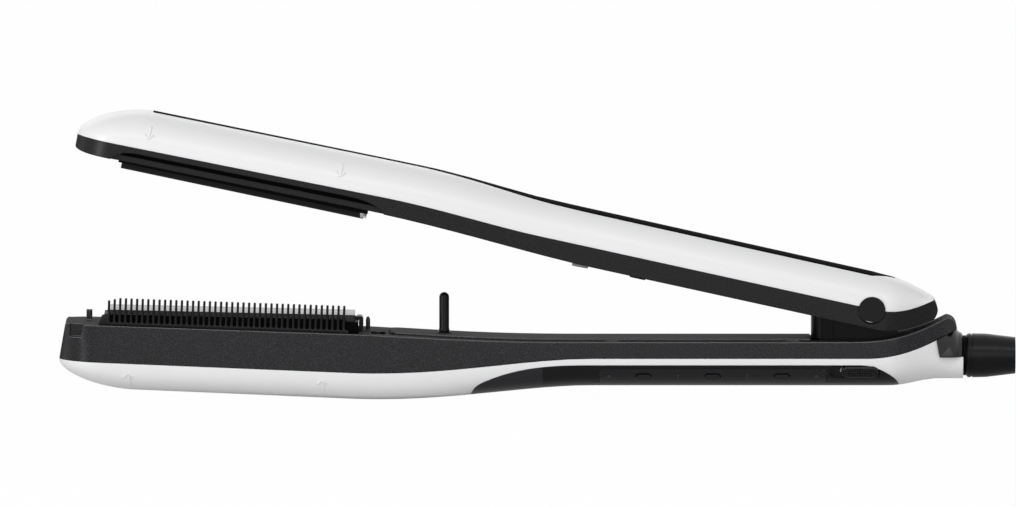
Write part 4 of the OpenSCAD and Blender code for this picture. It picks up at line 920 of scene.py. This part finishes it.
def lower_cover():
    """Outer arc, set back by the panel's depth in the pocket, and an inner arc one wall inside.

    The widest height moves from the seam to the hose's axis, so that the neck is round.
    """
    xs, in_pocket = lower_stations()
    angles, sunk = section_angles(panel_angle(xs), side_count=14, pocket_count=25)
    width, top, low, power = lower_width(xs), seam(xs), belly(xs), belly_power(xs)
    widest = top + (HOSE_Z - top) * ease((xs - PANEL_BACK) / (HORN_ROOT - PANEL_BACK))
    depth = PANEL_T + GAP
    y0, z0 = arc(angles, width, widest, low - widest, power)
    y1, z1 = arc(angles, width - depth, widest, np.minimum(low - widest + depth, 0), power)
    use = in_pocket[:, None] & sunk
    outer = upright(xs, np.where(use, y1, y0), np.where(use, z1, z0), top)
    outer[..., 2] = np.maximum(outer[..., 2], 0)
    thicker = blend(xs, PANEL_FRONT - THICKEN_OVER, PANEL_FRONT, 0, depth)
    wall = COVER_WALL + thicker * (xs < PANEL_BACK + THICK_BEHIND)
    drop = np.minimum(low - widest + wall, -THINNEST) * hollow(xs)
    inner = upright(xs, *arc(angles, width - wall, widest, drop, power), top)
    return shell_mesh("cover_shell_lower", place_lower(outer), place_lower(inner))


finish_piece("cover_shell_lower", lower_cover(), "polished white ABS", "lower_arm", ["lower_cover"])


# %% [markdown]
# ## Upper cover
# The upper cover is the same kind of shell, arched over the upper arm. A shallow pocket along its
# crest takes the thin black inset.


# %% Edge of the crest inset
INSET_HEAD, INSET_HANDLE = 3.6, 7.4
POINT_ANGLE = math.radians(85)


def inset_angle(x):
    """Angle of the inset's edge, from its half width, turning to 85 degrees at the rear point."""
    half_w = waist(x, INSET_HEAD, INSET_HANDLE) + GAP
    full = np.arccos(np.clip(half_w / upper_width(x), 0, 1) ** (UPPER_POWER / 2))
    point = np.clip((x - INSET_TURN) / (INSET_END + GAP - INSET_TURN), 0, 1)
    return full + (POINT_ANGLE - full) * point


print("inset edge at the hinge in degrees:", round(math.degrees(inset_angle(0.0)), 1))


# %% Stations of the upper cover
def upper_stations():
    """Even steps along the arm, and close ones at the inset's rear point and on the tail."""
    start, end = INSET_START - GAP, INSET_END + GAP
    inside = np.concatenate([
        [start], np.arange(start + 3, -8, STEP), [-8, -5], np.linspace(INSET_TURN, end, 7),
    ])
    behind = np.concatenate([[end], np.linspace(end + 1, UPPER_TAIL - 2.1, 12)])
    return join_stations(stations(start), inside, behind)


# %% Build the upper cover
# Depth of the seat under the inset, and the X between which the wall closes at the tail.
INSET_SEAT, TAIL_CLOSE, TAIL_CLOSED = 0.05, 10, 18
# Least height of the outer section and of the seat under the inset, where the tail runs out.
LEAST_HEIGHT, LEAST_SEAT = 0.3, 0.2


def upper_cover():
    """Outer arc, set back by the inset's depth in the pocket, and an inner arc one wall inside."""
    xs, in_pocket = upper_stations()
    angles, sunk = section_angles(inset_angle(xs), side_count=30, pocket_count=8)
    power = np.full(len(xs), UPPER_POWER)
    width, low, high = upper_width(xs), rim(xs), np.maximum(crest(xs) - rim(xs), LEAST_HEIGHT)
    depth = INSET_T + INSET_SEAT
    y0, z0 = arc(angles, width, low, high, power)
    y1, z1 = arc(angles, width - depth, low, np.maximum(high - depth, LEAST_SEAT), power)
    use = in_pocket[:, None] & sunk
    outer = grid_points(xs, np.where(use, y1, y0), np.where(use, z1, z0))
    closing = 1 - ease((xs - TAIL_CLOSE) / (TAIL_CLOSED - TAIL_CLOSE))
    rise = np.maximum(high - COVER_WALL, THINNEST) * hollow(xs) * closing
    inner = grid_points(xs, *arc(angles, width - COVER_WALL, low, rise, power))
    return shell_mesh("cover_shell_upper", place_upper(outer), place_upper(inner))


finish_piece("cover_shell_upper", upper_cover(), "polished white ABS", "upper_arm", ["upper_cover"])


# %% [markdown]
# ## Closing arrows
# Four small arrows stand out of the white covers, two on each, and point to the plates. A moulder
# cuts them a third of a millimetre deep into the tool. Here each stroke is a low dome along a line,
# laid on the cover by working out the cover's Y from X and Z of the side view.


# %% Cover surface seen from the near side
def near_side(x, z, width, start_z, depth, power):
    """The superellipse turned round: y = -w (1 - |(z - z0) / d| ^ p) ^ (1 / p)."""
    return -width * (1 - np.clip(np.abs((z - start_z) / depth), 0, 1) ** power) ** (1 / power)


def lower_side(x, z):
    """Y of the lower cover at this X and Z."""
    return near_side(x, z, lower_width(x), seam(x), seam(x) - belly(x), belly_power(x))


def upper_side(x, z):
    """Y of the upper cover at this X and Z."""
    return near_side(x, z, upper_width(x), rim(x), crest(x) - rim(x), UPPER_POWER)


print("near side of the lower head, 12 mm up, in mm:", round(float(lower_side(PLATE_START, 12.0)), 2))


# %% Arrow strokes
# Half width, height and depth of a stroke's root, in millimetres.
STROKE_HALF, STROKE_HEIGHT, STROKE_ROOT = 0.42, 0.32, 0.15
# Half of the shaft, reach of a barb along X, its height as a share of the half shaft, and the share
# by which it stops short of the point, so that no two strokes share an edge.
SHAFT_HALF, BARB_REACH, BARB_SHARE, BARB_SHORT = 2.2, 1.7, 0.75, 0.03


def stroke(start, end, side):
    """Dome along a line: h times the root of 1 - v squared across, rounded off at both ends."""
    t, v = np.meshgrid(np.linspace(0, 1, 13), np.linspace(-1, 1, 7), indexing="ij")
    run = np.array(end) - np.array(start)
    across = np.array([-run[1], run[0]]) / np.linalg.norm(run)
    x = start[0] + run[0] * t + across[0] * STROKE_HALF * v
    z = start[1] + run[1] * t + across[1] * STROKE_HALF * v
    ends = np.clip(6 * np.minimum(t, 1 - t), 0, 1) ** 0.5
    rise = STROKE_HEIGHT * (1 - v ** 2) ** 0.5 * ends
    y = side(x, z)
    return np.stack([x, y - rise, z], -1), np.stack([x, y + STROKE_ROOT, z], -1)


def arrow_lines(centre, lean, down):
    """Ends of the shaft and of both barbs. The shaft leans back by this much a mm of height."""
    half = SHAFT_HALF * down
    x, z = centre
    point, tail = (x - lean * SHAFT_HALF, z - half), (x + lean * SHAFT_HALF, z + half)
    lines = [(tail, point)]
    for step in (-BARB_REACH, BARB_REACH):
        barb = (point[0] + step, point[1] + BARB_SHARE * half)
        lines.append((barb, (point[0] + BARB_SHORT * step, point[1])))
    return lines


def arrow(name, centre, lean, down, side, place):
    """The three strokes as one mesh of three closed shells."""
    points, faces, first = [], [], 0
    for start, end in arrow_lines(centre, lean, down):
        top, bottom = stroke(start, end, side)
        part = shell_mesh(name, place(top), place(bottom))
        vertices = np.empty(len(part.vertices) * 3)
        part.vertices.foreach_get("co", vertices)
        points.append(vertices.reshape(-1, 3))
        faces += [[first + v for v in face.vertices] for face in part.polygons]
        first += len(part.vertices)
        bpy.data.meshes.remove(part)
    mesh = bpy.data.meshes.new(name)
    mesh.from_pydata(np.concatenate(points).tolist(), [], faces)
    return mesh


# %% Build the arrows
# Both arms have one near the tip and one near the plate's end. The first number is the lean, and the
# second is 1 for an arrow that points down and -1 for one that points up.
UPPER_ARM = (0.1, 1, upper_side, place_upper)
LOWER_ARM = (0.2, -1, lower_side, place_lower)
ARROWS = [
    ("arrow_upper_front", (-251.9, 45.4), UPPER_ARM, "upper_arm", "upper_cover"),
    ("arrow_upper_rear", (-185.7, 44.9), UPPER_ARM, "upper_arm", "upper_cover"),
    ("arrow_lower_front", (-252.0, 7.6), LOWER_ARM, "lower_arm", "lower_cover"),
    ("arrow_lower_rear", (-186.2, 5.3), LOWER_ARM, "lower_arm", "lower_cover"),
]
for name, centre, arm, body, node in ARROWS:
    finish_piece(name, arrow(name, centre, *arm), "polished white ABS", body, [])


# %% [markdown]
# ## Comb
# The comb guides the hair over the plate. It is moulded in one piece: a base strip, a web at the
# tip's end and 43 thin teeth. The slots between the teeth have round bottoms, as a milled mould
# leaves them. Each tooth is a stack of rings, and all teeth are made in one array.

# %% Comb measures in millimetres
COMB_START, COMB_PITCH, COMB_TEETH = PLATE_START + 0.4, 1.9, 43
COMB_SIDE, COMB_DEPTH, COMB_BASE = -18.4, 1.8, 1.2
COMB_SPAN = (COMB_TEETH - 1) * COMB_PITCH
# Height and half width of a tooth, height of its round top, and half width left at the very top.
TOOTH_HEIGHT, TOOTH_HALF, TOOTH_ROUND, TOOTH_TOP = 8.3, 0.42, 0.3, 0.12
# A tooth starts this far down in the base strip, and the first two are cut shorter by these.
TOOTH_SUNK, FIRST_CUT, SECOND_CUT = 0.6, 0.9, 0.4
# Each tooth's foot stops this far short of half a pitch.
TOOTH_GAP = 0.01
# X and height of the web in front of the first tooth, length of the step down behind the web, and
# reach of the strip behind the last tooth.
WEB_X, WEB_TOP = (-3.4, -3.3, -2.3, 0.0), (1.1, COMB_BASE, 3.5, 4.6)
WEB_STEP, STRIP_REACH = 0.02, 1.6
# The strip has one more ring this far in front of the step, and one in front of its own end.
WEB_RING, END_RING = 0.3, 0.05
print("comb:", COMB_TEETH, "teeth over", round(COMB_SPAN, 1), "mm")


# %% Rings of the comb
def ring(half_a, half_b, power=0.4, count=24):
    """Squared-up ellipse in each row: half size times the signed power of cosine and sine."""
    turn = np.linspace(0, 2 * math.pi, count + 1)
    c, s = np.cos(turn).round(9), np.sin(turn).round(9)
    return half_a[..., None] * signed_power(c, power), half_b[..., None] * signed_power(s, power)


def tooth_profile():
    """Half width over height: a quarter circle down to the tooth, straight up, and a round top."""
    wide = COMB_PITCH / 2 - TOOTH_GAP
    root = wide - TOOTH_HALF
    bend = np.linspace(0, math.pi / 2, 7)
    neck = TOOTH_HEIGHT - TOOTH_ROUND
    z = np.concatenate([
        [-TOOTH_SUNK, -TOOTH_SUNK], root * (1 - np.cos(bend)), np.linspace(root, neck, 6)[1:],
        neck + TOOTH_ROUND * np.sin(bend[1:]), [TOOTH_HEIGHT],
    ])
    half = np.concatenate([
        [0, wide], wide - root * np.sin(bend), np.full(5, TOOTH_HALF),
        TOOTH_TOP + (TOOTH_HALF - TOOTH_TOP) * np.cos(bend[1:]), [0],
    ])
    return z, half


def comb_teeth():
    """A stack of rings for each tooth, one pitch apart. The first two teeth are a little shorter."""
    z, half = tooth_profile()
    cut = np.zeros((COMB_TEETH, 1))
    cut[:2, 0] = FIRST_CUT, SECOND_CUT
    shorter = cut * np.clip(z / TOOTH_HEIGHT, 0, 1)
    taper = 0.5 * np.clip(TOOTH_HALF - half, 0, None)
    across, y = ring(half, np.where(half > 0, COMB_DEPTH / 2 - taper, 0))
    x = np.arange(COMB_TEETH)[:, None, None] * COMB_PITCH + across
    return np.stack(np.broadcast_arrays(x, y, (COMB_BASE + z - shorter)[..., None]), -1)


def comb_base():
    """Base strip along the comb: its top rises over the web in front of the first tooth."""
    last = COMB_SPAN + STRIP_REACH
    web = [WEB_X[0], *WEB_X[:3], -WEB_RING, 0.0, WEB_STEP]
    x = np.array([*web, COMB_SPAN, last - END_RING, last, last])
    top = np.interp(x, [*WEB_X, WEB_STEP], [*WEB_TOP, COMB_BASE])
    size = np.ones(len(x))
    size[[0, -1]] = 0
    y, z = ring(size * COMB_DEPTH / 2, size * top / 2, power=0.2)
    return np.stack(np.broadcast_arrays(x[:, None], y, z + top[:, None] / 2), -1)[None]


print("points of the teeth:", comb_teeth().shape)


# %% Build the comb
def comb_blade():
    """Teeth and base, turned down with the slope of the deck and set on it."""
    ends = deck(np.array([COMB_START, COMB_START + COMB_SPAN]))
    slope = math.atan2(ends[0] - ends[1], COMB_SPAN)
    c, s = math.cos(slope), math.sin(slope)
    points, faces, first = [], [], 0
    for grids in (comb_teeth(), comb_base()):
        pieces, rows, columns, _ = grids.shape
        start = first + np.arange(pieces)[:, None, None] * rows * columns
        faces.append((grid_faces(0, rows, columns)[None] + start).reshape(-1, 4))
        points.append(grids.reshape(-1, 3))
        first += pieces * rows * columns
    x, y, z = np.concatenate(points).T
    middle = COMB_SIDE + COMB_DEPTH / 2
    turned = np.stack([COMB_START + x * c + z * s, middle + y, ends[0] + z * c - x * s], -1)
    mesh = bpy.data.meshes.new("comb_blade")
    mesh.from_pydata(place_lower(turned).tolist(), [], np.concatenate(faces).tolist())
    return mesh


blade = finish_piece("comb_blade", comb_blade(), "glass-filled black nylon", "comb", ["comb"])
corners = np.array([v.co for v in blade.data.vertices])
print("comb box here:", corners.min(0).round(5).tolist(), corners.max(0).round(5).tolist())


# %% [markdown]
# ## Clip under the upper arm
# A small pale clip under the waist of the upper arm holds its floor. It is one superellipsoid, a
# ball squared up by raising its sines and cosines to a power, so that all of its edges are round.


# %% Floor clip
def floor_clip(centre=(-100.1, -11.5, 27.5), size=(5.6, 3.0, 1.2), power=0.3):
    """Superellipsoid: half size times signed powers of cos u cos v, cos u sin v and sin u."""
    rows, columns = 25, 49
    u, v = np.meshgrid(
        np.linspace(-0.5, 0.5, rows) * math.pi, np.linspace(-1, 1, columns) * math.pi, indexing="ij",
    )
    level = np.cos(u).round(9) ** power
    square = np.stack([
        level * signed_power(np.cos(v), power), level * signed_power(np.sin(v), power),
        signed_power(np.sin(u), power),
    ], -1)
    points = place_upper(square * np.array(size) / 2 + np.array(centre)).reshape(-1, 3)
    mesh = bpy.data.meshes.new("floor_clip")
    mesh.from_pydata(points.tolist(), [], grid_faces(0, rows, columns).tolist())
    return mesh


finish_piece("floor_clip", floor_clip(), "pearl grey ABS", "upper_arm", [])


# %% [markdown]
# ## Grip of the lock slider
# The slider's pad has rows of small domes for the thumb, 0.78 mm apart. They are one height field
# over the pad's pill outline, so that the whole grip is a single grid.


# %% Side of the handle
def facet(z):
    """Half width and lean of the handle's side at a height, from the superellipse of the cover."""
    half, depth = HANDLE_W / 2, SEAM_HANDLE - BELLY_HANDLE
    share = (SEAM_HANDLE - z) / depth
    y = half * (1 - share ** HANDLE_POWER) ** (1 / HANDLE_POWER)
    steep = HANDLE_POWER - 1
    return y, math.atan2(share ** steep * half, (y / half) ** steep * depth)


# %% Slider grip
GRIP_X, GRIP_Z, GRIP_LENGTH, GRIP_HEIGHT = -4.0, 9.8, 12.8, 4.2
DOME_PITCH, DOME_RISE = 0.78, 0.45
# Height of the pad's top, width of its round rim, depth that it is let in, and how deep it reaches.
PAD_RISE, PAD_ROUND, PAD_LET_IN, PAD_ROOT = 0.5, 0.4, 0.1, 0.9
# The domes fade in over this way from the rim.
DOME_FROM, DOME_FADE = 0.35, 0.25


def pad_grid():
    """X and width positions over a pill outline, and the distance of each point from its edge."""
    u, v = np.meshgrid(np.linspace(-1, 1, 161), np.linspace(-1, 1, 53), indexing="ij")
    x = u * GRIP_LENGTH / 2
    end = np.clip(np.abs(x) - (GRIP_LENGTH - GRIP_HEIGHT) / 2, 0, GRIP_HEIGHT / 2)
    half = np.sqrt(np.clip((GRIP_HEIGHT / 2) ** 2 - end ** 2, 1e-6, None))
    w = v * half
    return x, w, np.minimum(half - np.abs(w), GRIP_LENGTH / 2 - np.abs(x))


def slider_grip():
    """Rise over the pad: dome height times |sin| across and along, faded to a rounded rim."""
    x, w, edge = pad_grid()
    across = np.sin(math.pi * x / DOME_PITCH) * np.sin(math.pi * (w / DOME_PITCH + 0.5))
    dome = DOME_RISE * np.abs(across) * np.clip((edge - DOME_FROM) / DOME_FADE, 0, 1)
    rounding = np.sqrt(np.clip(1 - (1 - np.clip(edge / PAD_ROUND, 0, 1)) ** 2, 0, 1))
    out = PAD_RISE * rounding + dome - PAD_LET_IN
    y, lean = facet(GRIP_Z)
    c, s = math.cos(lean), math.sin(lean)

    def set_down(rise):
        """Points at this rise over the leaning side of the handle."""
        return np.stack([x + GRIP_X, -y - rise * c - w * s, GRIP_Z + w * c - rise * s], -1)

    top, root = set_down(out), set_down(np.full_like(out, -PAD_ROOT))
    return shell_mesh("slider_grip", place_lower(top), place_lower(root))


finish_piece("slider_grip", slider_grip(), "glossy black nylon", "lock_slider", ["lock_slider"])
